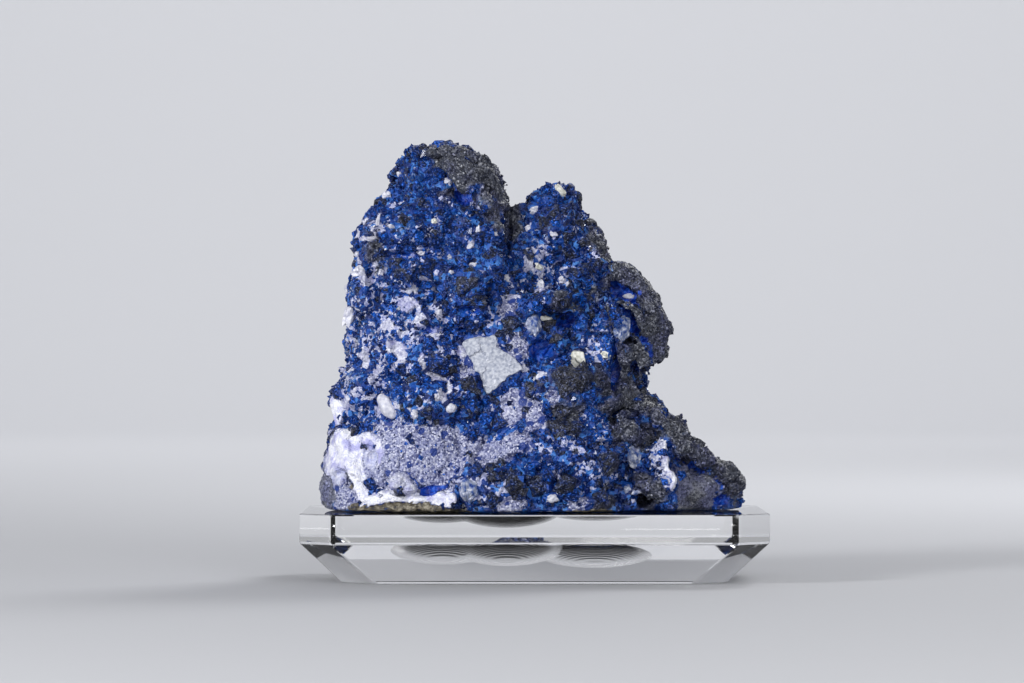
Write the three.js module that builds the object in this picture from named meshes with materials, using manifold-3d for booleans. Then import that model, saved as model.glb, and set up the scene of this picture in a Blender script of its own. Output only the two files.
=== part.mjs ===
// Dark blue fluorite crystals grown on white granular quartz, seated in a milled pocket of a clear acrylic stand.
// Millimetres, +Z up. The origin is the middle of the stand's underside, and the specimen's show side faces -Y.
import * as THREE from "three";
import { ConvexGeometry } from "three/addons/geometries/ConvexGeometry.js";
import { mergeVertices } from "three/addons/utils/BufferGeometryUtils.js";
import Module from "manifold-3d";

// The stand: an upright band round its top, and a long bevel below the band.
const STAND_WIDTH = 152;
const STAND_DEPTH = 96;
const STAND_HEIGHT = 23;
const BAND_HEIGHT = 9.5;
const BEVEL_INSET = 13.2;
const CORNER_CUT = 10;
const FOOT_CORNER_CUT = 11.8;
// Room left between the rock and the acrylic, all round.
const FIT_GAP = 0.3;

// The crystals: how far apart they stand, how large they grow, and how deep they are rooted.
const CRYSTAL_SPACING = 14.6;
const SMALLEST_CRYSTAL = 4.2;
const LARGEST_CRYSTAL = 7.0;
const ROOT_SHARE = 0.34;
// Steps whose multiples never repeat, taken modulo 1 as evenly spread choices.
const GOLDEN = 0.6180339887;
const PLASTIC_A = 0.7548776662;
const PLASTIC_B = 0.569840291;
const GOLDEN_TURN = Math.PI * (3 - Math.sqrt(5));

// The rock's lumps. Each is a centre x, y, z above the stand's top, and its half-widths along x, y, z.
const BODY_LUMPS = [
  [-38, 2, 16, 29, 35, 27],
  [-4, 3, 18, 35, 37, 31],
  [26, 4, 14, 26, 33, 25],
  [-36, 4, 47, 28, 31, 33],
  [-8, 5, 48, 30, 32, 35],
  [14, 6, 50, 22.5, 28, 33],
];
const TALL_PEAK_LUMPS = [
  [-36, 6, 80, 22.5, 24, 27],
  [-28.5, 7, 100, 18, 18, 19.5],
  [-45.5, 3, 96, 10.5, 14, 14],
  [-56, -1, 71, 7, 15, 7],
  [-23, -9, 84, 11, 9, 14],
];
const LOW_PEAK_LUMPS = [
  [-3, 7, 80, 14, 18, 19],
  [6.5, 7, 91, 11.5, 15, 16.5],
  [15, 6, 84, 9.5, 13, 12],
];
const RIGHT_LOBE_LUMPS = [
  [29, 5, 67, 9, 16, 13],
  [34, 3, 57, 10.5, 16, 11],
];
const FOOT_LUMPS = [
  [33, 3, 22, 15, 22, 14],
  [45, 1, 12, 14, 19, 11.5],
  [59.5, -2, 7.5, 9, 14, 8],
];
const LEFT_WALL_LUMPS = [
  [-56, -1, 38, 9.5, 19, 13],
  [-60, -6, 11, 9.5, 19, 13],
];
const FRONT_LUMPS = [
  [-32, -22, 36, 18, 10, 9],
  [-13, -28, 11, 15, 9, 9],
  [9, -25, 40, 13, 8, 9],
  [12, -26, 20, 17, 10, 12],
  [-20, -20, 70, 10, 8, 10],
  [27, -16, 57, 9, 9, 12],
  [40, -17, 15, 10, 8, 10],
];
const BACK_LUMPS = [
  [-38, 30, 22, 20, 10, 16],
  [-2, 34, 26, 18, 9, 18],
  [27, 28, 16, 16, 11, 13],
  [-10, 29, 60, 20, 9, 15],
];
const LUMPS = [
  ...BODY_LUMPS,
  ...TALL_PEAK_LUMPS,
  ...LOW_PEAK_LUMPS,
  ...RIGHT_LOBE_LUMPS,
  ...FOOT_LUMPS,
  ...LEFT_WALL_LUMPS,
  ...FRONT_LUMPS,
  ...BACK_LUMPS,
];
// A lump with no half-width over this is rounded with fewer facets.
const SMALL_LUMP = 19;
// The surface of each lump wanders in and out by up to this much.
const RUGGED_DEPTH = 1.8;
const RUGGED_PITCH = 19;

// The rounded underside that stands in the acrylic's pocket.
const KEEL_LUMPS = [
  [-9, -6, 2, 19, 23, 7],
  [-30, -3, 2, 18, 21, 5.5],
  [20, 5, 2, 20, 19, 5],
];

// Stretches of bare quartz, where no large crystals grow: centre and half-widths, as for the lumps.
const BARE_QUARTZ = [
  [-29, -32, 17, 23, 14, 12],
  [-61, -20, 16, 9, 16, 15],
  [-48, -34, 2, 24, 12, 8],
  [-13, -27, 50, 10, 10, 10],
];

// A cleavage face of white calcite set in the middle of the show side: its outline in x and z.
const CALCITE_Y = -28.2;
const CALCITE_THICKNESS = 5;
const CALCITE_OUTLINE = [
  [-23, 56],
  [-15.5, 57],
  [-13, 58],
  [-11.5, 54],
  [-5, 52],
  [-4, 48],
  [-9, 44],
  [-14, 39.5],
  [-17, 41],
  [-18, 47],
  [-20.5, 52],
];

const wasm = await Module();
wasm.setup();
const UP = new THREE.Vector3(0, 0, 1);

// A closed geometry as a solid that can be joined and cut.
function solidOf(geometry) {
  const bare = geometry.clone();
  bare.deleteAttribute("normal");
  bare.deleteAttribute("uv");
  const merged = mergeVertices(bare, 1e-4);
  return new wasm.Manifold(
    new wasm.Mesh({
      numProp: 3,
      vertProperties: merged.attributes.position.array,
      triVerts: new Uint32Array(merged.index.array),
    }),
  );
}

// A solid as geometry for a mesh.
function geometryOf(solid) {
  const { numProp, numVert, vertProperties, triVerts } = solid.getMesh();
  const positions = new Float32Array(numVert * 3);
  for (let i = 0; i < numVert; i++) {
    positions.set(vertProperties.subarray(i * numProp, i * numProp + 3), i * 3);
  }
  return new THREE.BufferGeometry()
    .setAttribute("position", new THREE.BufferAttribute(positions, 3))
    .setIndex(new THREE.BufferAttribute(new Uint32Array(triVerts), 1));
}

// How far a point is from a lump's middle, as a share of the half-width in that direction.
function reach([cx, cy, cz, rx, ry, rz], p) {
  return Math.hypot((p.x - cx) / rx, (p.y - cy) / ry, (p.z - cz) / rz);
}

// Three crossed waves that make a smooth, uneven height from -1 to 1 over space.
function unevenness(p) {
  const k = (2 * Math.PI) / RUGGED_PITCH;
  return (
    (Math.sin(k * (p.x + 0.6 * p.z)) +
      Math.sin(k * 0.83 * (p.y - 0.4 * p.x) + 1.7) +
      Math.sin(k * 1.21 * (p.z + 0.5 * p.y) + 4.1)) /
    3
  );
}

// One lump of rock, facetted and slightly rugged.
function lumpSolid(lump) {
  const [cx, cy, cz, rx, ry, rz] = lump;
  const detail = Math.max(rx, ry, rz) > SMALL_LUMP ? 2 : 1;
  const geometry = new THREE.IcosahedronGeometry(1, detail);
  geometry.scale(rx, ry, rz);
  geometry.translate(cx, cy, cz);
  const position = geometry.attributes.position;
  const centre = new THREE.Vector3(cx, cy, cz);
  const p = new THREE.Vector3();
  for (let i = 0; i < position.count; i++) {
    p.fromBufferAttribute(position, i);
    const outwards = p.clone().sub(centre).normalize();
    p.addScaledVector(outwards, RUGGED_DEPTH * unevenness(p));
    position.setXYZ(i, p.x, p.y, p.z);
  }
  return solidOf(geometry);
}

// Where the crystals stand: points spread over every lump, kept where they lie on the outside of the rock.
function crystalSites() {
  const sites = [];
  LUMPS.forEach((lump, index) => {
    const [cx, cy, cz, rx, ry, rz] = lump;
    const meanRadius = Math.cbrt(rx * ry * rz);
    const count = Math.round((4 * Math.PI * meanRadius ** 2) / CRYSTAL_SPACING ** 2);
    for (let j = 0; j < count; j++) {
      const height = 1 - (2 * (j + 0.5)) / count;
      const ring = Math.sqrt(1 - height * height);
      const turn = j * GOLDEN_TURN + index;
      const direction = new THREE.Vector3(ring * Math.cos(turn), ring * Math.sin(turn), height);
      const point = new THREE.Vector3(cx + rx * direction.x, cy + ry * direction.y, cz + rz * direction.z);
      const buried = LUMPS.some((other, k) => k !== index && reach(other, point) < 0.98);
      const bare = BARE_QUARTZ.some((patch) => reach(patch, point) < 1);
      if (buried || bare || point.z < 1) continue;
      const normal = new THREE.Vector3(direction.x / rx, direction.y / ry, direction.z / rz).normalize();
      sites.push({ point, normal });
    }
  });
  return sites;
}

// A rooted crystal: an octahedron that turns a face, or for every third one a corner, outwards.
function crystalSolid({ point, normal }, n) {
  const choice = (step) => (n * step) % 1;
  const size = SMALLEST_CRYSTAL + (LARGEST_CRYSTAL - SMALLEST_CRYSTAL) * choice(GOLDEN) ** 1.5;
  const geometry = new THREE.OctahedronGeometry(size);
  const faceOut = new THREE.Quaternion().setFromUnitVectors(new THREE.Vector3(1, 1, 1).normalize(), UP);
  if (n % 3 !== 0) geometry.applyQuaternion(faceOut);
  geometry.rotateZ(2 * Math.PI * choice(PLASTIC_A));
  geometry.rotateX(0.5 * (choice(PLASTIC_B) - 0.5));
  geometry.scale(1, 1, 0.8 + 0.4 * choice(PLASTIC_A));
  geometry.applyQuaternion(new THREE.Quaternion().setFromUnitVectors(UP, normal));
  const middle = point.clone().addScaledVector(normal, -ROOT_SHARE * size);
  geometry.translate(middle.x, middle.y, middle.z);
  return solidOf(geometry);
}

// The calcite's cleavage plate, upright and facing the front.
function calciteSolid() {
  const outline = new THREE.Shape(CALCITE_OUTLINE.map(([x, z]) => new THREE.Vector2(x, z)));
  const plate = new THREE.ExtrudeGeometry(outline, { depth: CALCITE_THICKNESS, bevelEnabled: false });
  plate.rotateX(Math.PI / 2);
  plate.translate(0, CALCITE_Y + CALCITE_THICKNESS, 0);
  return solidOf(plate);
}

// An ellipsoid of the keel, or of the pocket that clears it.
function keelSolid([cx, cy, cz, rx, ry, rz], clearance) {
  const geometry = new THREE.IcosahedronGeometry(1, 2);
  geometry.scale(rx + clearance, ry + clearance, rz + clearance);
  geometry.translate(cx, cy, cz);
  return solidOf(geometry);
}

// The rock with its crystals, trimmed just above the stand's top, with the keel below.
function specimenSolid() {
  const rock = LUMPS.map(lumpSolid);
  const crystals = crystalSites().map(crystalSolid);
  const grown = wasm.Manifold.union([...rock, ...crystals, calciteSolid()]);
  const room = new THREE.BoxGeometry(400, 400, 400).translate(0, 0, 200 + FIT_GAP);
  const keel = KEEL_LUMPS.map((lump) => keelSolid(lump, 0));
  return wasm.Manifold.union([grown.intersect(solidOf(room)), ...keel]);
}

// The corners of an eight-sided plan at one height.
function ring(halfWidth, halfDepth, cut, z) {
  const corners = [];
  for (const [sx, sy] of [[1, 1], [-1, 1], [-1, -1], [1, -1]]) {
    corners.push(new THREE.Vector3(sx * (halfWidth - cut), sy * halfDepth, z));
    corners.push(new THREE.Vector3(sx * halfWidth, sy * (halfDepth - cut), z));
  }
  return corners;
}

// The acrylic block with its pocket.
function standSolid() {
  const halfWidth = STAND_WIDTH / 2;
  const halfDepth = STAND_DEPTH / 2;
  const block = new ConvexGeometry([
    ...ring(halfWidth, halfDepth, CORNER_CUT, STAND_HEIGHT),
    ...ring(halfWidth, halfDepth, CORNER_CUT, STAND_HEIGHT - BAND_HEIGHT),
    ...ring(halfWidth - BEVEL_INSET, halfDepth - BEVEL_INSET, FOOT_CORNER_CUT, 0),
  ]);
  block.translate(0, 0, -STAND_HEIGHT);
  return KEEL_LUMPS.reduce((solid, lump) => solid.subtract(keelSolid(lump, FIT_GAP)), solidOf(block));
}

const fluorite = new THREE.MeshStandardMaterial({ color: 0x1b2f78, roughness: 0.45, metalness: 0 });
const acrylic = new THREE.MeshPhysicalMaterial({ color: 0xf2f6f8, roughness: 0.03, transmission: 1, ior: 1.49 });

const specimen = new THREE.Mesh(geometryOf(specimenSolid()), fluorite);
specimen.name = "fluorite_specimen";
const stand = new THREE.Mesh(geometryOf(standSolid()), acrylic);
stand.name = "acrylic_stand";

// Both are modelled from the stand's top, and the group lifts them to stand on the ground.
const display = new THREE.Group();
display.position.z = STAND_HEIGHT;
display.add(specimen, stand);

const object = new THREE.Group();
object.add(display);
export default object;
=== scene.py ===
import math

import bmesh
import bpy
import numpy as np
from mathutils import Matrix, Vector, noise
from mathutils.bvhtree import BVHTree
from mathutils.kdtree import KDTree


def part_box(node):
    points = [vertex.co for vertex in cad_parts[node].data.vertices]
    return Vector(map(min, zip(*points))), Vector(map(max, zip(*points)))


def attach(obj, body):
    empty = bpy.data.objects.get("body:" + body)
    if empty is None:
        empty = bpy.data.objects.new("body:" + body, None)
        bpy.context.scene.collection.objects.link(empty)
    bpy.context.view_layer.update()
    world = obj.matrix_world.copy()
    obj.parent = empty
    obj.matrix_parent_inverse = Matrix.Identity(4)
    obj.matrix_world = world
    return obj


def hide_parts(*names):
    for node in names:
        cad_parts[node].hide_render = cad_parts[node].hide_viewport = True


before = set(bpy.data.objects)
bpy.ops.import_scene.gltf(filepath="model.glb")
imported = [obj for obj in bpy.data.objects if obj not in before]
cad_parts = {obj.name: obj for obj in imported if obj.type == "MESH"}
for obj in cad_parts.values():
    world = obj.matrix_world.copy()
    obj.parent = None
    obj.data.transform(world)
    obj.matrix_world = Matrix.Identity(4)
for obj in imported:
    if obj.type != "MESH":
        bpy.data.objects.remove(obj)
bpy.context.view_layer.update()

# --------------------------------------------------------------------------------------
# Camera
# It looks level at the show side through a long lens, from 1.6 m off and from about half the specimen's
# height, so that the stand's top is seen almost edge on.
# --------------------------------------------------------------------------------------
MM = 0.001
camera_data = bpy.data.cameras.new("camera")
camera_data.sensor_width = 36
camera_data.lens = 170
camera_data.clip_end = 20
camera = bpy.data.objects.new("camera", camera_data)
camera.location = Vector((-7.3, -1600, 78.6)) * MM
camera.rotation_euler = (math.radians(90), 0, 0)
bpy.context.scene.collection.objects.link(camera)
bpy.context.scene.camera = camera

# --------------------------------------------------------------------------------------
# The rock
# Massive white to lavender quartz with blue fluorite all through it, broken out of its vein as a
# twin-peaked lump. Its surface is rough and blocky. The underside is a low keel that stands in the stand's
# pocket. The crystals grow on it.
# --------------------------------------------------------------------------------------
STAND_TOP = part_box("acrylic_stand")[1][2] / MM
FIT_GAP = 0.3
# Lumps of the rock: centre x, y, z above the stand's top, then half-widths along x, y, z, in millimetres.
LUMPS = [
    # the body
    (-38, 2, 16, 29, 35, 27), (-4, 3, 18, 35, 37, 31), (26, 4, 14, 26, 33, 25),
    (-35.5, 4, 47, 26.8, 31, 33), (-8, 5, 48, 30, 32, 35), (14, 6, 50, 22.5, 28, 33),
    # the tall peak
    (-36, 6, 80, 22.5, 24, 27), (-28, 7, 100.5, 17.8, 18, 20.3), (-46, 3, 90, 9.8, 14, 13),
    (-55.5, -1, 71, 6, 15, 7), (-23, -9, 84, 11, 9, 14),
    # the low peak
    (-3, 7, 80, 14, 18, 19), (6.8, 7, 91, 9.6, 15, 16.5), (15, 6, 84, 9.5, 13, 11),
    # the right lobe and the foot
    (29, 5, 67, 9, 16, 13), (34, 3, 57, 10.5, 16, 11), (33, 3, 22, 13.5, 22, 12.5),
    (45, 1, 12, 14, 19, 10.5), (59.5, -2, 7.5, 8, 14, 8),
    # the left wall
    (-55.5, -1, 38, 9.2, 19, 13), (-60, -6, 11, 8.5, 19, 13),
    # bulges of the show side
    (-32, -22, 36, 18, 10, 9), (-13, -28, 11, 15, 9, 9), (9, -25, 40, 13, 8, 9), (12, -26, 20, 17, 10, 12),
    (-20, -20, 70, 10, 8, 10), (27, -16, 57, 9, 9, 12), (40, -17, 15, 10, 8, 10),
    # bulges of the back
    (-38, 30, 22, 20, 10, 16), (-2, 34, 26, 18, 9, 18), (27, 28, 16, 16, 11, 13), (-10, 29, 60, 20, 9, 15),
]
KEEL_LUMPS = [(-9, -6, 2, 19, 23, 7), (-30, -3, 2, 18, 21, 5.5), (20, 5, 2, 20, 19, 5)]
# How much fuller the rock is than its lumps, which stop below the crystals.
SWELL = 0.5
# Lumps centred below this height are drawn out downwards, by this much of each vertex's depth in them.
LOW_LUMP = 27
STEEPNESS = 1.4
# Ridges and shells of the show side: the crest's points as x, y, z, then half the ridge's width.
RIDGES = [
    # the right lobe: its dome, and the lumps under the shells
    ([(38.6, -17, 61.5), (40.8, -17, 57), (39.8, -16.5, 52)], 4.2),
    ([(25.3, -29, 61.5), (25.8, -28, 67)], 1.9),
    ([(36, -24, 52), (35.5, -23, 48)], 2.4),
    ([(29.5, -27, 53), (30, -26, 48)], 2.4),
    ([(28, -24, 42), (31, -25, 36), (35, -24, 33)], 3.6),
    ([(35.4, -10, 71), (37.6, -10, 67)], 2.4),
    ([(19.4, -13, 84), (21.4, -16, 79), (22, -18, 73.5), (21.5, -20, 68)], 3.2),
    # the shelf under the low peak
    ([(-2, -27, 66), (3, -27, 69), (8, -27, 68.5), (12, -27, 66.5), (15, -27, 62)], 2.3),
    ([(7, -28, 59), (8, -28, 55)], 2.6),
    ([(16, -22, 77), (21, -20, 73), (22, -22, 68)], 2.8),
    # the low peak's left shoulder
    ([(-7, 0, 97.5), (-3.5, -2, 98.2), (0, -3, 99.5)], 2.2),
    # grey masses in the middle
    ([(20, -28, 44), (25, -26, 42)], 3.4),
    ([(21, -35, 33), (26, -33, 37)], 3.0),
    ([(22, -38, 17), (26, -37, 20)], 3.2),
    # the foot: its crest, its dome and the curled shell below
    ([(33.5, -26, 31.8), (40, -25, 27), (46, -24, 22.5)], 3.2),
    ([(58, -19, 14), (62.5, -17, 11), (65, -16, 8)], 4.0),
    ([(48.5, -22, 8), (54, -21, 7)], 6.5),
    ([(33.5, -34, 9), (38, -34, 8.8), (41.8, -33, 6), (43.8, -32, 2)], 2.2),
    ([(29, -34, 30), (31, -33, 26)], 2.6),
    # the tall peak
    ([(-46.4, 0, 103), (-44, -1, 108), (-41.6, -2, 113.4), (-38.8, -3, 115.8)], 3.2),
    ([(-43, -2, 109.5), (-38, -4, 113.2), (-32, -7, 116), (-28.5, -9, 116.8)], 4.0),
    ([(-24, -9, 115.5), (-19, -10, 112.5), (-14, -12, 106.5), (-12.5, -14, 98)], 3.8),
    ([(-26, -18, 112.5), (-22, -18, 107)], 4.0),
    ([(-18, -18, 105.5), (-16.5, -18, 101)], 3.0),
    ([(-14, -18, 92), (-15, -22, 84), (-13, -26, 77)], 3.0),
    ([(-52, -16, 92), (-45, -19, 90), (-38, -20, 91)], 2.4),
    ([(-44, -22, 78), (-36, -23, 80), (-29, -24, 78)], 2.8),
    # the massive white folds at the left
    ([(-62, -23.5, 23.5), (-60.5, -25, 20), (-59.2, -27.5, 14.5), (-57.7, -28.5, 9), (-56.5, -29, 6)], 3.5),
    ([(-64.9, -15, 23), (-64.6, -19, 17), (-64.2, -21, 10.5)], 2.6),
    ([(-57.5, -24.5, 25.3), (-54.8, -27.5, 24), (-52.8, -29, 22.8)], 1.9),
    ([(-51.3, -29.6, 22.5), (-50.3, -31, 19), (-51, -31, 15.5)], 1.0),
    ([(-56, -22, 20), (-54.5, -25, 12)], 4.0),
    ([(-65, -12, 37), (-64, -15, 33), (-63, -18, 29.5)], 2.0),
    ([(-67.5, -12, 9), (-67, -12, 4)], 3.4),
]
# Slabs of the show side, with sharper edges than the ridges: the corners of each one's face as x, y, z.
SLABS = [
    # the lobe's top plate, its thin inner shell and its broad right edge
    [(22.5, -19, 81.5), (26, -18, 81), (29.5, -17, 79), (33, -16, 76), (35.5, -15, 72.5), (37, -14, 69.5),
     (36.5, -20, 69.5), (35, -22, 72), (31, -23, 74), (28, -22, 75.5), (25, -21, 77.5)],
    [(26.5, -24, 69.5), (30, -25, 68.6), (33.5, -25, 66.3), (36, -23, 63), (37, -22, 60), (36, -22, 58),
     (34.6, -24, 57.8), (34.2, -25.5, 60), (33, -26.5, 62.5), (31, -26.5, 65), (28.5, -25.5, 67)],
    [(36.5, -19, 70), (38, -14, 68), (41, -12, 63.5), (43.6, -9, 59.5), (43.4, -9, 55), (42, -10, 51),
     (40, -13, 48.5), (38.5, -17, 48), (38.5, -19, 52), (36.5, -20.5, 57.5), (37.3, -21, 62)],
    # the foot's crest slab
    [(47, -26, 23.5), (50, -24, 24.5), (53.5, -22, 22.5), (57.5, -20, 19), (60.5, -17, 15.8),
     (58.5, -20, 14.2), (55, -24, 13.8), (51.5, -26, 16.3), (47, -27.5, 19)],
]
SLAB_DEPTH = 13
# How deep a ridge is against its width, and how many ellipsoids it has for each of its radii.
RIDGE_DEPTH = 2.0
RIDGE_STEPS = 1.6
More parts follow.
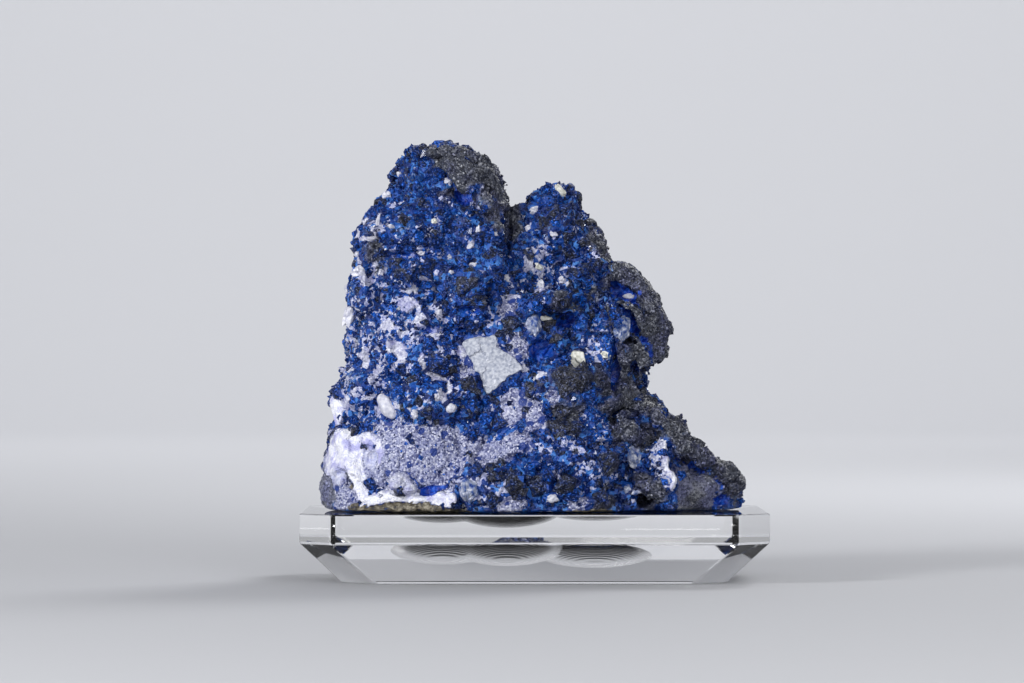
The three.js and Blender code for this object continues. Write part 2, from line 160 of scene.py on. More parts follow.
# Parts of the show side with sharp outlines, in the order they are laid over each other: what covers it, y
# in its middle or None where it stays as it is, how much y grows with x and with z, and the outline as x
# and z.
FACES = [
    # the right lobe: its top plate, its broad right mass, and the hollows and shells between them
    ("crust", -18.5, 0.2, 0.3,
     [(24.6, 83.2), (27.8, 83.2), (30.8, 82), (33.4, 81), (35.6, 79), (37, 75.5), (38.9, 72.5),
      (40.6, 69.5), (41, 66.7), (38, 66.4), (35.7, 66), (35.1, 68), (35.4, 70.7), (33.4, 72.6),
      (31.4, 73.3), (29.4, 73.6), (27.4, 75), (25.8, 76), (24.8, 77.6), (23.5, 80.9)]),
    ("crust", -17, 0.45, 0,
     [(35.7, 65.8), (40.2, 66.5), (42.3, 64.5), (45, 61), (46, 58), (45.5, 54.5), (44, 50), (41.5, 47),
      (38.6, 46), (37.6, 50), (38.9, 52), (38.2, 54), (36.9, 56.3), (35.6, 58.2), (36.3, 61.3),
      (36, 63.6)]),
    ("hollow", -12, 0, 0.3,
     [(24.4, 75.8), (25.8, 75.6), (27.6, 74.8), (29.8, 73.6), (32.4, 72.9), (35.2, 71), (34.9, 68),
      (34.4, 66.4), (33.4, 67.6), (32.4, 68.4), (30.8, 68.7), (28.4, 69.3), (26.5, 69.7), (25.1, 70.7),
      (24.6, 73.3)]),
    ("crust", -23, 0.25, 0,
     [(26.3, 69.5), (28.4, 69.4), (30.8, 68.7), (32.8, 67.6), (34.8, 65.8), (36, 63.4), (36.3, 61),
      (35.5, 58.6), (34.8, 57.6), (34, 59.4), (33.3, 61.7), (32.5, 63.7), (31.2, 65.6), (29.6, 66.8),
      (27.6, 67.5)]),
    ("hollow", -16, 0, 0,
     [(25.8, 67.9), (27.4, 67.5), (29.6, 66.7), (31.4, 65.2), (32.6, 63.3), (33.5, 61), (34.1, 58.8),
      (35, 57.2), (32.8, 56.7), (31.2, 57.8), (31.2, 60.2), (30.8, 62.6), (29.6, 64.2), (27.6, 66)]),
    ("hollow", -17, 0, 0,
     [(35.2, 58), (37, 56.4), (38.4, 54), (39.1, 51.8), (38.6, 49.8), (37.2, 51), (36.7, 53.8),
      (35.2, 56)]),
    ("crust", -25, 0, 0,
     [(23.6, 67.4), (24.9, 68), (26.6, 66), (27.2, 63.4), (26.2, 60.4), (24.8, 60.6), (24, 63.4),
      (23.2, 66)]),
    ("gap", -17, 0, 0, [(29.8, 56.4), (32.4, 57), (33.4, 55.6), (32.6, 53.4), (30.4, 53.4)]),
    ("crust", -23, 0.3, 0,
     [(33.3, 52.5), (35, 54.2), (36.8, 53.2), (37.5, 50.6), (37.1, 48), (35.5, 46.2), (33.9, 46.8),
      (33.6, 49.5)]),
    ("crust", -24.5, 0, 0,
     [(26.5, 54), (28, 55), (29.8, 54.2), (30.3, 50.5), (29.6, 47.6), (27.5, 47.2), (26.6, 50)]),
    # the mottled plate beside the foot, whitest along its right edge
    ("mottled", -29.5, -0.3, 0.35,
     [(38.4, 23.4), (40.8, 24.8), (43.4, 23), (42.8, 20.4), (43.7, 17.4), (43.5, 14.9), (45.4, 12.2),
      (45.9, 9.4), (44.8, 7.1), (42.6, 8), (41, 10.2), (38.8, 11.6), (38.6, 14.4), (36.6, 16.4), (37.4, 19),
      (36.2, 21.6)]),
    ("white", None, 0, 0,
     [(41.6, 24.4), (43.4, 23), (42.8, 20.4), (43.7, 17.4), (43.5, 14.9), (45.4, 12.2), (45.9, 9.4),
      (44.8, 7.1), (43.9, 7.6), (44.8, 9.6), (44.2, 11.8), (42.4, 14.6), (42.6, 17.2), (41.9, 20.2),
      (42.3, 22.6)]),
    # the foot: its upper slope, its crest slab, the hollow under it, the dome and the crease round it
    ("crust", -26, 0.3, 0.2,
     [(39, 33), (41.5, 31.8), (46, 29.6), (49.8, 26), (49, 23), (46.6, 21), (44.6, 23), (42.2, 27.4),
      (38.5, 30)]),
    ("crust", -25, 0.5, 0.1,
     [(47.2, 19.4), (49.6, 23.8), (52.6, 24.1), (55.6, 22), (58.6, 18.4), (59.4, 16.4), (55.6, 14.6),
      (52.6, 15.4), (49.6, 17.6)]),
    ("hollow", -16, 0, 0,
     [(45.8, 18.4), (48.6, 18.4), (51, 16.6), (54, 14.6), (56.5, 13.6), (55, 12.4), (51.5, 13.8),
      (48.5, 15.2), (46, 16)]),
    ("sparkle", None, 0, 0,
     [(45.8, 14.5), (48.5, 15.2), (51.5, 13.8), (55, 12.4), (58, 11.6), (60.3, 9.4), (61, 7), (60.3, 5),
      (59, 3.5), (58.8, 0.4), (46.5, 0.4), (45.6, 4), (46.4, 9)]),
    ("hollow", -13, 0, 0, [(58.3, 12.4), (60.6, 10.8), (62.5, 7.8), (62, 6.4), (60.6, 8.2), (58, 11)]),
    ("hollow", -12, 0, 0,
     [(58.8, 4), (60.5, 5.2), (62.5, 6), (64.5, 4.4), (64.2, 2.6), (61.5, 2.4), (59, 1)]),
    ("gap", -20, 0, 0, [(33.5, 6.6), (36, 7.2), (38.4, 5.8), (38.8, 3.2), (36, 2), (33.4, 2.4)]),
    # the tall peak's crest: four grey masses, the gaps between them, and a blue pocket
    ("crust", -10, 0, 0.5,
     [(-36, 118.5), (-33, 121), (-29, 123), (-26.5, 122), (-24.5, 119.5), (-25, 117), (-29, 116.2),
      (-33, 116.2), (-36, 117)]),
    ("crust", -12, 0.4, 0.5,
     [(-25, 122), (-23.9, 122.3), (-19.9, 120), (-16.6, 116.6), (-18, 114.5), (-21, 115.5), (-24.5, 117)]),
    ("crust", -17.5, 0.3, 0.45,
     [(-29, 115.3), (-24, 115.7), (-20, 114.3), (-18.2, 111), (-17.5, 108), (-21, 107), (-25, 108.5),
      (-27.5, 112)]),
    ("crust", -10, 0.6, 0,
     [(-17, 115.5), (-14.5, 113.9), (-11.5, 111.2), (-10, 107.7), (-8.8, 102), (-12, 101), (-13.2, 105),
      (-14, 109), (-16, 112)]),
    ("gap", -13, 0, 0, [(-18.6, 114.3), (-17.2, 114.6), (-15.6, 111.2), (-16.6, 110)]),
    ("gap", -11, 0, 0, [(-17.2, 108.4), (-15.4, 108.6), (-13.6, 105), (-14.8, 103.2), (-16.6, 105)]),
    ("gap", -11, 0, 0, [(-30.6, 116.2), (-28, 116.7), (-25, 116.8), (-25.4, 115.9), (-28.6, 115.7)]),
    ("hollow", -9, 0, 0,
     [(-26.5, 105.4), (-23, 106), (-20.2, 104.8), (-19.8, 102), (-22.5, 101.2), (-25.8, 102.6)]),
    # the lower left: the grainy field, the folds of massive quartz, and the band and soil under the field
    ("quartz", None, 0, 0,
     [(-54, 26), (-50, 29.5), (-47, 30.2), (-44, 29), (-41, 28.5), (-38, 28.2), (-33, 29), (-28, 28.5),
      (-24.5, 27.5), (-22.5, 24), (-21.8, 18), (-23, 13.5), (-26, 11), (-28.5, 9.5), (-31, 8.6), (-35, 8.4),
      (-38, 6.4), (-46, 6.6), (-52, 8.5), (-54.6, 12), (-53, 15), (-50.6, 14.5), (-49.4, 17), (-49.6, 21),
      (-51.5, 24.6)]),
    ("stained", -25, 0, 0,
     [(-56.2, 21.8), (-53.6, 22.6), (-51.8, 20.5), (-51.6, 17), (-53, 14.3), (-55.6, 15.3)]),
    ("white", None, 0, 0,
     [(-64, 25.9), (-60.7, 26.3), (-58.2, 24.4), (-57, 22.6), (-56.1, 19.7), (-56.3, 17.2), (-56.1, 14.7),
      (-55.3, 12.2), (-54.5, 9.8), (-54.1, 7.3), (-54.7, 4.8), (-56.1, 5), (-57.8, 6.5), (-59, 8.9),
      (-60.3, 11.4), (-61.3, 14.3), (-61.9, 17.2), (-62.5, 18), (-63.6, 16.4), (-65.2, 13.5), (-67.3, 13.5),
      (-68, 16.4), (-67.6, 20.5), (-66.5, 22.2), (-65.2, 23.4)]),
    ("white", None, 0, 0,
     [(-56.8, 25.5), (-54, 26.4), (-51.8, 24.8), (-50, 22.4), (-49.3, 19.5), (-50.2, 15.8), (-51.8, 14.8),
      (-51.4, 18.5), (-52.2, 21.4), (-53.8, 23)]),
    ("stained", None, 0, 0,
     [(-66.8, 12.6), (-65.4, 13.4), (-63.6, 15), (-62.4, 12.5), (-62.8, 9), (-65.6, 8.4)]),
    ("gap", -25.5, 0, 0,
     [(-62.2, 13.2), (-61.5, 13.4), (-60.3, 10.8), (-59.5, 8.6), (-60.2, 8.4), (-61.4, 10.4)]),
    ("sparkle", None, 0, 0,
     [(-74, 9), (-70.5, 14), (-68, 13.6), (-66.4, 9), (-64.8, 4.4), (-66, 0.4), (-74, 0.4)]),
    ("quartz", None, 0, 0,
     [(-65, 7), (-62, 7.6), (-59.5, 7.5), (-58, 6), (-57, 3), (-59.6, 1.2), (-64.8, 0.6)]),
    ("hollow", -32, 0, 0,
     [(-42.2, 13.4), (-40.4, 12.8), (-38.4, 9), (-35.5, 8.2), (-31, 8.4), (-28.6, 9), (-27.4, 8.4),
      (-31, 6.6), (-35.5, 5.6), (-38, 7.2), (-39.4, 9.6)]),
    ("pale", -36.6, 0, 0.1,
     [(-46, 12.6), (-42.6, 12.8), (-41, 11), (-40, 9), (-38.9, 7.4), (-40.5, 6.3), (-46.5, 7)]),
    ("soil", -34, -0.2, 0,
     [(-60.5, 2.6), (-57, 3.2), (-54, 2.8), (-50.3, 3.3), (-44.5, 4.5), (-36.3, 4), (-33, 3.4),
      (-30.6, 2.8), (-26, 1.6), (-26, 0.4), (-60.5, 0.4)]),
    ("white", -35.4, -0.2, 0,
     [(-53.6, 6.5), (-50.3, 7), (-47, 6.3), (-43, 5.6), (-38, 5.2), (-35.4, 5.5), (-33.8, 6.1), (-32.1, 7),
      (-27.2, 6.8), (-25.4, 4.9), (-24.8, 2.8), (-28, 1.9), (-31.2, 2.6), (-36.3, 3.5), (-44.5, 3.8),
      (-50.3, 2.7), (-54.1, 2.3), (-57, 2.7), (-56, 5)]),
]
# Hollows and cracks of the show side: centre x and z, half-widths, depth, how much painted blue glow they
# get from 0 to 1, and by how many degrees they lean clockwise. The glow is the fluorite's deep blue,
# painted brighter than it is so that the hollows look lit in their own shade.
HOLLOWS = [
    # the right lobe
    (33.0, 47.6, 1.4, 2.3, 4.0, 0.5, 0), (35.2, 46.0, 2.2, 0.8, 3.0, 0.8, 10),
    (39.0, 48.0, 1.8, 1.2, 2.0, 0.8, 0), (34.3, 39.2, 0.7, 3.2, 2.0, 1.0, -20),
    (24.2, 62.0, 1.0, 4.6, 3.5, 0.8, -12), (26.4, 47.5, 1.3, 9.0, 4.5, 0.8, -6),
    # the middle
    (10.5, 62.5, 4.2, 2.4, 4.0, 1.0, 0), (2.5, 53, 4.0, 3.6, 4.0, 0.8, 0),
    (-20.5, 66, 4.4, 1.8, 4.5, 0.9, 0), (-30, 60, 8.0, 1.6, 2.5, 0.5, 0), (-14, 70, 1.6, 6.0, 4.0, 0.3, 0),
    (-17.5, 34, 1.4, 4.5, 2.5, 0.6, 8), (-2.8, 8, 0.9, 4.0, 2.5, 0.4, -6), (6.4, 10, 0.9, 4.0, 2.5, 0.4, 5),
    (16.5, 9, 1.2, 4.5, 3.0, 0.4, -8), (24, 6, 1.2, 4.0, 2.5, 0.4, 6), (23, 22.5, 7.0, 1.2, 4.0, 0.3, -8),
    (30, 13.5, 2.0, 3.6, 3.5, 0.1, 0), (33, 31.2, 2.1, 1.6, 4.0, 0.3, 10),
    # the peaks
    (-42, 84, 9.0, 1.6, 3.0, 0.5, 0), (-9, 90, 1.6, 8.0, 3.0, 0.2, 0), (22, 76, 1.6, 6.0, 3.0, 0.2, 0),
]
# How fine the rock's own mesh is.
ROCK_VOXEL = 0.86


def add_ellipsoid(bm, centre, half_widths, subdivisions=4):
    """Adds an ellipsoid to the bmesh, and gives its vertices."""
    place = Matrix.Translation(centre) @ Matrix.Diagonal((*half_widths, 1))
    return bmesh.ops.create_icosphere(bm, subdivisions=subdivisions, radius=1, matrix=place)["verts"]


def new_piece(name, shape):
    """Links a bmesh or mesh drawn in millimetres above the stand's top, at its true size and place."""
    mesh = shape
    if isinstance(shape, bmesh.types.BMesh):
        mesh = bpy.data.meshes.new(name)
        shape.to_mesh(mesh)
        shape.free()
    mesh.transform(Matrix.Scale(MM, 4) @ Matrix.Translation((0, 0, STAND_TOP)))
    piece = bpy.data.objects.new(name, mesh)
    bpy.context.scene.collection.objects.link(piece)
    return piece


def apply_modifier(piece, kind, **settings):
    """Adds a modifier with its settings and applies it to the mesh."""
    modifier = piece.modifiers.new(kind.lower(), kind)
    for key, value in settings.items():
        setattr(modifier, key, value)
    with bpy.context.temp_override(object=piece, active_object=piece, selected_editable_objects=[piece]):
        bpy.ops.object.modifier_apply(modifier=modifier.name)


def coordinates(mesh):
    """A mesh's vertices and vertex normals as arrays, in millimetres above the stand's top."""
    places = np.empty(len(mesh.vertices) * 3)
    mesh.vertices.foreach_get("co", places)
    normals = np.empty(len(mesh.vertices) * 3)
    mesh.vertex_normals.foreach_get("vector", normals)
    return places.reshape(-1, 3) / MM - (0, 0, STAND_TOP), normals.reshape(-1, 3)


def stepped(value, low, high):
    """0 below low, 1 above high, and a smooth step between."""
    t = np.clip((value - low) / (high - low), 0, 1)
    return t * t * (3 - 2 * t)


rock_bm = bmesh.new()
for lump in LUMPS:
    verts = add_ellipsoid(rock_bm, lump[:3], [half + SWELL for half in lump[3:]])
    # The rock was sawn flat low down, so the lowest lumps run straight down to the cut.
    if lump[2] < LOW_LUMP:
        for vertex in verts:
            vertex.co.z -= STEEPNESS * max(0, lump[2] - vertex.co.z)
for line, radius in RIDGES:
    for start, end in zip(line, line[1:]):
        start, end = Vector(start), Vector(end)
        steps = max(2, round((end - start).length / radius * RIDGE_STEPS))
        for step in range(steps + 1):
            crest = start.lerp(end, step / steps)
            centre = crest + Vector((0, RIDGE_DEPTH * radius, 0))
            add_ellipsoid(rock_bm, centre, (radius, RIDGE_DEPTH * radius, radius), subdivisions=3)
for face_corners in SLABS:
    face = rock_bm.faces.new([rock_bm.verts.new(corner) for corner in face_corners])
    sunk = bmesh.ops.extrude_face_region(rock_bm, geom=[face], use_keep_orig=True)["geom"]
    sunk = [v for v in sunk if isinstance(v, bmesh.types.BMVert)]
    bmesh.ops.translate(rock_bm, vec=(0, SLAB_DEPTH, 0), verts=sunk)
bmesh.ops.recalc_face_normals(rock_bm, faces=rock_bm.faces)
rock = new_piece("granular_quartz", rock_bm)
apply_modifier(rock, "REMESH", mode="VOXEL", voxel_size=ROCK_VOXEL * MM)

# The union is cut off level just above the stand, and the keel is joined on below the cut.
rock_bm = bmesh.new()
rock_bm.from_mesh(rock.data)
cut = bmesh.ops.bisect_plane(rock_bm, geom=rock_bm.verts[:] + rock_bm.edges[:] + rock_bm.faces[:],
                             plane_co=(0, 0, (STAND_TOP + FIT_GAP) * MM), plane_no=(0, 0, -1),
                             clear_outer=True)
bmesh.ops.holes_fill(rock_bm, edges=[e for e in cut["geom_cut"] if isinstance(e, bmesh.types.BMEdge)],
                     sides=0)
bmesh.ops.transform(rock_bm, matrix=Matrix.Translation((0, 0, -STAND_TOP)) @ Matrix.Scale(1 / MM, 4),
                    verts=rock_bm.verts)
for lump in KEEL_LUMPS:
    add_ellipsoid(rock_bm, lump[:3], lump[3:])
rock_bm.to_mesh(rock.data)
rock_bm.free()
rock.data.transform(Matrix.Scale(MM, 4) @ Matrix.Translation((0, 0, STAND_TOP)))
apply_modifier(rock, "REMESH", mode="VOXEL", voxel_size=ROCK_VOXEL * MM)

# The rock's covers, as patches with a centre and half-widths. Where bare, grainy quartz shows.
QUARTZ_PATCHES = [
    (-38.5, -32, 17.5, 17.5, 20, 12.5), (-18, -34, 20, 12, 20, 5), (-6, -36, 23, 6, 18, 4),
    (-7, -34, 35, 5, 18, 6), (0, -34, 32, 4, 18, 7), (-22, -29, 47, 3.2, 15, 6), (-5, -27, 54, 4, 15, 5),
    (-8, -28, 67, 4, 15, 4.5), (-61, -14, 14, 10, 26, 14), (-68, -8, 6, 7, 26, 9),
    (52.5, -18, 5.5, 7.5, 15, 7.5), (6, -36, 38, 2.6, 15, 2.2), (7, -33, 12, 2.4, 12, 2.6),
    (-8, -32, 2.5, 6, 12, 3), (15, -30, 3, 4, 12, 3), (-22, 36, 44, 18, 16, 13), (20, 34, 8, 22, 16, 9),
    (-58, 16, 16, 10, 16, 15), (4, 24, 86, 9, 14, 8),
]
# Where the quartz is massive and white.
MASSIVE_PATCHES = [
    (-61.5, -26, 21.5, 4.2, 16, 5.6), (-59.6, -28, 14.5, 3.8, 16, 6.0), (-57.2, -30, 8, 3.4, 16, 5.0),
    (-65.5, -22, 17.5, 2.6, 18, 7.8), (-55, -30, 24.2, 3.6, 12, 2.6), (-50.7, -32, 19.2, 0.9, 12, 4.6),
    (-43, -36, 5.2, 13, 10, 2.0), (-28.6, -37, 4.9, 3.5, 10, 2.6), (-61, -28, 4.2, 4.5, 14, 3.2),
    (-64.8, -18, 33, 2.2, 20, 5.6), (-56, 16, 10, 9, 16, 10),
]
# Flecks of white quartz among the crystals.
FLECK_PATCHES = [
    (-42.5, -34, 10.8, 3.2, 8, 2.2), (-39.5, -22, 72.5, 2.4, 15, 1.8), (-41, -22, 67, 4.0, 15, 2.4),
    (-31.5, -24, 64, 1.3, 15, 2), (-36.5, -24, 62, 2.4, 15, 2), (-32.5, -26, 58.5, 3.6, 15, 1.6),
    (-44.5, -24, 52, 3.2, 15, 3.4), (-37, -28, 49, 1.8, 15, 3), (-32, -28, 44, 3.2, 15, 2.2),
    (-28, -30, 41, 1.4, 15, 2.2), (-48, -20, 61, 2, 15, 1.6), (-50, -18, 70, 1.6, 15, 2.2),
    (-54.5, -14, 75, 2.6, 15, 2.6), (-35.5, -22, 76.5, 2.6, 15, 1.4), (-24, -26, 52, 2, 15, 2),
    (-30, -30, 38, 1.6, 15, 2), (-52, -20, 46, 2, 15, 2.6), (-8.5, -27, 70.5, 3, 15, 1.2),
    (-3, -27, 47, 2, 15, 1.4), (2, -31, 44, 2, 15, 1.2), (-0.6, -20, 86, 2.8, 15, 1.6),
    (5.5, -20, 84, 2.2, 15, 1.2), (2.5, -22, 72.5, 2.8, 15, 1.4),
]
# Where the white quartz shows as a lace between small crystals.
LACE_PATCHES = [
    (-58, -10, 48, 11, 30, 24), (-59, -20, 30, 10, 18, 7), (-46, -22, 55, 9, 18, 13),
    (-56, -6, 88, 9, 26, 14), (-46, -24, 34, 14, 14, 7), (4, -16, 82, 10, 14, 12), (-12, -30, 30, 8, 14, 7),
    (-6, 32, 52, 36, 16, 26),
]
LACE_SIZE = 2.6
# How white the flecks are against the massive quartz.
FLECK_WHITENESS = 0.55
# Where a crust of tiny grey crystals covers the rock.
CRUST_PATCHES = [
    (-17, 2, 110, 12, 26, 13), (-25, -2, 116.5, 11, 24, 5.5), (-8, 0, 96, 4, 30, 10),
    (27, 0, 90, 8, 30, 14), (46, 2, 60, 16, 40, 25), (30, -14, 79, 8, 26, 6), (36, -14, 72, 7, 26, 8),
    (54, -18, 19, 10, 26, 7), (65, -8, 10, 7, 30, 9), (33, -22, 50, 6, 16, 6), (59, -2, 20, 24, 30, 18),
    (38, -16, 36, 11, 24, 9), (31, -26, 37, 8, 22, 9), (46, -10, 31, 9, 26, 8), (36, -27, 26, 6, 18, 6),
    (28, -32, 28, 4, 16, 6), (25, -34, 17, 4, 16, 4), (24, -32, 35, 4, 16, 4), (37, -32, 7, 7, 16, 6),
    (22, -30, 5, 4, 16, 5), (10, -36, 31, 6, 12, 7), (10, -38, 43, 8, 12, 4), (22, -26, 43, 6, 12, 4),
    (29, -26, 46, 3.5, 12, 7), (34, -22, 40, 6, 14, 5), (30, -30, 28, 3, 12, 5),
    (10, -27, 67.5, 6, 12, 2.6), (20, -24, 72, 4, 12, 4), (-23, -20, 110, 5, 14, 5),
    (-13, -18, 98, 4, 14, 6), (8, -16, 101, 4, 12, 2.6), (-52, -6, 84, 4, 14, 8), (-4, 34, 16, 24, 14, 15),
    (-52, 20, 82, 8, 12, 9), (-40, 28, 62, 7, 12, 6), (-30, 28, 84, 6, 12, 8),
]
# Where the crystals stand further apart, with milky quartz between them.
MILKY_PATCHES = [
    (4, -16, 85, 9, 14, 7), (-59, -14, 37, 9, 24, 11), (32.5, -26, 19, 3, 15, 4), (21, -30, 55, 5, 15, 8),
    (23, -26, 27, 5, 15, 4), (-50, -12, 50, 24, 34, 30), (-40, -22, 60, 20, 18, 16),
    (-44, -14, 84, 14, 14, 14), (3, -14, 80, 11, 16, 11), (-14, -22, 56, 10, 14, 14),
    (10, -28, 24, 18, 14, 9), (20, -24, 54, 6, 14, 8), (18, -30, 12, 6, 14, 8), (-16, -34, 8, 10, 14, 7),
    (-8, 32, 50, 40, 16, 30),
]
# Where brown soil clings under the rock's edge.
SOIL_PATCHES = [
    (-41, -33, 0.5, 23, 18, 3.0), (-60.6, -29, 8.5, 0.8, 10, 3.2), (20, -34, 0, 10, 10, 1.4),
    (-10, 34, 0, 45, 14, 2.4), (-64, 8, 0, 8, 20, 2.2),
]
# How wide the rags of a patch's edge are.
RAG_SIZE = 4.5


def patch_cover(places, patches, edge=0.2, raggedness=0.45):
    """From 0 to 1, how far the patches cover each place. Edge says how soft their ragged edges are."""
    ragged = np.array([noise.noise(Vector(p) / RAG_SIZE) for p in places]) * raggedness
    cover = np.zeros(len(places))
    for patch in patches:
        off = np.linalg.norm((places - patch[:3]) / patch[3:], axis=1) + ragged
        cover = np.maximum(cover, 1 - stepped(off, 1 - edge, 1 + edge / 2))
    return cover


def inside(outline, x, z):
    """Which of the spots at x and z are inside an outline."""
    result = np.zeros(len(x), dtype=bool)
    for (x0, z0), (x1, z1) in zip(outline, outline[1:] + outline[:1]):
        side = (x - x0) * (z1 - z0) - (z - z0) * (x1 - x0)
        result ^= ((z0 > z) != (z1 > z)) & ((side < 0) == (z1 > z0))
    return result


def move_to(mesh, places):
    """Puts a mesh's vertices at places given in millimetres above the stand's top."""
    mesh.vertices.foreach_set("co", ((places + (0, 0, STAND_TOP)) * MM).ravel())
    mesh.update()


# Where the three noises of a vector are read, far enough apart to differ.
NOISE_SHIFTS = [(0, 0, 0), (17, 0, 0), (0, 17, 0)]


def noise_vector(p):
    """Three smooth noises at p as one vector, because Blender's own vector noise differs between runs."""
    return Vector([noise.noise(p + Vector(shift)) for shift in NOISE_SHIFTS])


# How far a laid face's outline wanders and over what distance, and the y and turn that end the show side.
WOBBLE = 0.8
WOBBLE_SIZE = 2.4
SHOW_SIDE_BACK = 2
SHOW_SIDE_TURN = -0.15


def lay_faces(places, normals):
    """For each place, the cover of the last face laid on it or none, and the y of that face or its own."""
    covers, back = np.full(len(places), "", dtype="<U8"), places[:, 1].copy()
    wobble = WOBBLE * np.array([noise_vector(Vector((x, 0, z)) / WOBBLE_SIZE)[:] for x, _, z in places])
    x, z = places[:, 0] + wobble[:, 0], places[:, 2] + wobble[:, 1]
    in_front = (normals[:, 1] < SHOW_SIDE_TURN) & (places[:, 1] < SHOW_SIDE_BACK)
    for cover, y, per_x, per_z, outline in FACES:
        chosen = in_front & inside(outline, x, z)
        covers[chosen] = cover
        if y is not None:
            across, up = (places[chosen][:, [0, 2]] - np.mean(outline, 0)).T
            back[chosen] = y + per_x * across + per_z * up
    return covers, back


# The faces are cut in, and then their walls get an even mesh too.
places, normals = coordinates(rock.data)
places[:, 1] = lay_faces(places, normals)[1]
move_to(rock.data, places)
apply_modifier(rock, "REMESH", mode="VOXEL", voxel_size=ROCK_VOXEL * MM)
places, normals = coordinates(rock.data)
laid = lay_faces(places, normals)[0]
massive_cover = patch_cover(places, MASSIVE_PATCHES, edge=0.15, raggedness=0.25)
fleck_cover = patch_cover(places, FLECK_PATCHES, edge=0.1, raggedness=0.7)
lace = np.array([noise.noise(Vector(p) / LACE_SIZE) for p in places])
lace_cover = patch_cover(places, LACE_PATCHES, edge=0.6) * stepped(lace, 0.12, 0.26)
fleck_cover = np.maximum(fleck_cover, lace_cover)
white_cover = np.maximum(massive_cover, FLECK_WHITENESS * fleck_cover)
quartz_cover = np.maximum.reduce([patch_cover(places, QUARTZ_PATCHES), massive_cover, fleck_cover])
crust_cover = patch_cover(places, CRUST_PATCHES, edge=0.3, raggedness=0.65) * (1 - quartz_cover)
milky_cover = patch_cover(places, MILKY_PATCHES, edge=0.6)
soil_cover = patch_cover(places, SOIL_PATCHES, edge=0.4, raggedness=0.3)
# How much quartz, white quartz, crust and soil the laid faces have, by the name of their cover.
LAID_COVERS = {"crust": (0, 0, 1, 0), "gap": (0, 0, 1, 0), "hollow": (0, 0, 0, 0), "sparkle": (0, 1, 1, 0),
               "quartz": (1, 0, 0, 0), "white": (1, 1, 0, 0), "pale": (0.8, 0.5, 0, 0),
               "stained": (1, 0.9, 0, 0), "mottled": (0.66, 0.35, 0, 0), "soil": (0, 0, 0, 1)}
for name, shares in LAID_COVERS.items():
    for cover, share in zip((quartz_cover, white_cover, crust_cover, soil_cover), shares):
        cover[laid == name] = share


def facets(p, size):
    """Height of a surface broken into tilted flats of about that size, in the size's unit."""
    middle = noise.voronoi(p / size)[1][0]
    tilt = noise_vector(middle * 9.7).normalized()
    return (p / size - middle).dot(tilt) * size


def broad_relief(p):
    """The rock's larger rises, dips and flats, in millimetres."""
    return 1.6 * noise.noise(p / 15) + 0.30 * facets(p, 9.5)


def small_flats(p):
    """The small broken flats of the rock among the crystals, in millimetres."""
    return 0.36 * facets(p + Vector((31, 7, 3)), 4.2)


def roughness_of(p):
    """The finest relief of the rock, in millimetres."""
    return 0.5 * noise.noise(p / 1.8)


def hollowed(places):
    """How far the named hollows sink the show side, in millimetres, and their share of the painted blue
    glow.
    """
    depth, painted_glow_share = np.zeros(len(places)), np.zeros(len(places))
    # Each hollow's blue is its share of the painted blue glow.
    for x, z, half_x, half_z, deepest, blue, lean in HOLLOWS:
        across, up = places[:, 0] - x, places[:, 2] - z
        cosine, sine = math.cos(math.radians(lean)), math.sin(math.radians(lean))
        off = np.hypot((across * cosine - up * sine) / half_x, (across * sine + up * cosine) / half_z)
        share = (1 - stepped(off, 0.7, 1.15)) * (places[:, 1] < 0)
        depth = np.maximum(depth, deepest * share)
        painted_glow_share = np.maximum(painted_glow_share, blue * share)
    return depth, painted_glow_share


# What is left of the fine relief on bare quartz and under the crust, what more of it massive quartz and
# soil lose, and what massive quartz and laid faces lose of the broad relief.
FINE_ON_QUARTZ = 0.45
FINE_ON_CRUST = 0.45
FINE_LOST = 0.75
BROAD_LOST = 0.6
broad = np.array([broad_relief(Vector(p)) for p in places])
calm = 1 - (1 - FINE_ON_QUARTZ) * quartz_cover - (1 - FINE_ON_CRUST) * crust_cover
fine = np.array([roughness_of(Vector(p)) for p in places]) * calm
fine += np.array([small_flats(Vector(p)) for p in places]) * calm
fine *= 1 - FINE_LOST * np.maximum(massive_cover, soil_cover)
broad *= 1 - BROAD_LOST * np.maximum(massive_cover, laid != "")
hollows, painted_glow_share = hollowed(places)
hollows[laid != ""] = 0
painted_glow_share[laid != ""] = 0
# Laid hollows get the whole painted blue glow, which stands for light in their shade; the stained faces get
# a quarter of it over their lavender stain.
painted_glow_share[laid == "hollow"] = 1
painted_glow_share[laid == "stained"] = 0.25
# The relief fades out just above the stand.
relief = (broad + fine - hollows) * stepped(places[:, 2], 0.8, 3.5)
places += normals * relief[:, None]
places[:, 2] = np.where(places[:, 2] < FIT_GAP, places[:, 2], np.maximum(places[:, 2], FIT_GAP))
move_to(rock.data, places)


def set_attribute(mesh, name, values):
    """Stores one number per vertex on the mesh."""
    attribute = mesh.attributes.new(name, "FLOAT", "POINT")
    attribute.data.foreach_set("value", np.asarray(values, dtype=np.float32))


# The hollow attribute carries each place's share of the painted blue glow.
COVERS = {"quartz": quartz_cover, "white": white_cover, "crust": crust_cover, "milky": milky_cover,
          "hollow": painted_glow_share, "soil": soil_cover}
for name, cover in COVERS.items():
    set_attribute(rock.data, name, cover)


def from_hex(code):
    """An sRGB hex colour as linear red, green, blue and alpha."""
    channels = [int(code[i : i + 2], 16) / 255 for i in (0, 2, 4)]
    return (*[c / 12.92 if c <= 0.04045 else ((c + 0.055) / 1.055) ** 2.4 for c in channels], 1)


def new_material(name):
    """An empty node material: the material, its node tree and its output node."""
    material = bpy.data.materials.new(name)
    material.use_nodes = True
    material.node_tree.nodes.clear()
    return material, material.node_tree, material.node_tree.nodes.new("ShaderNodeOutputMaterial")


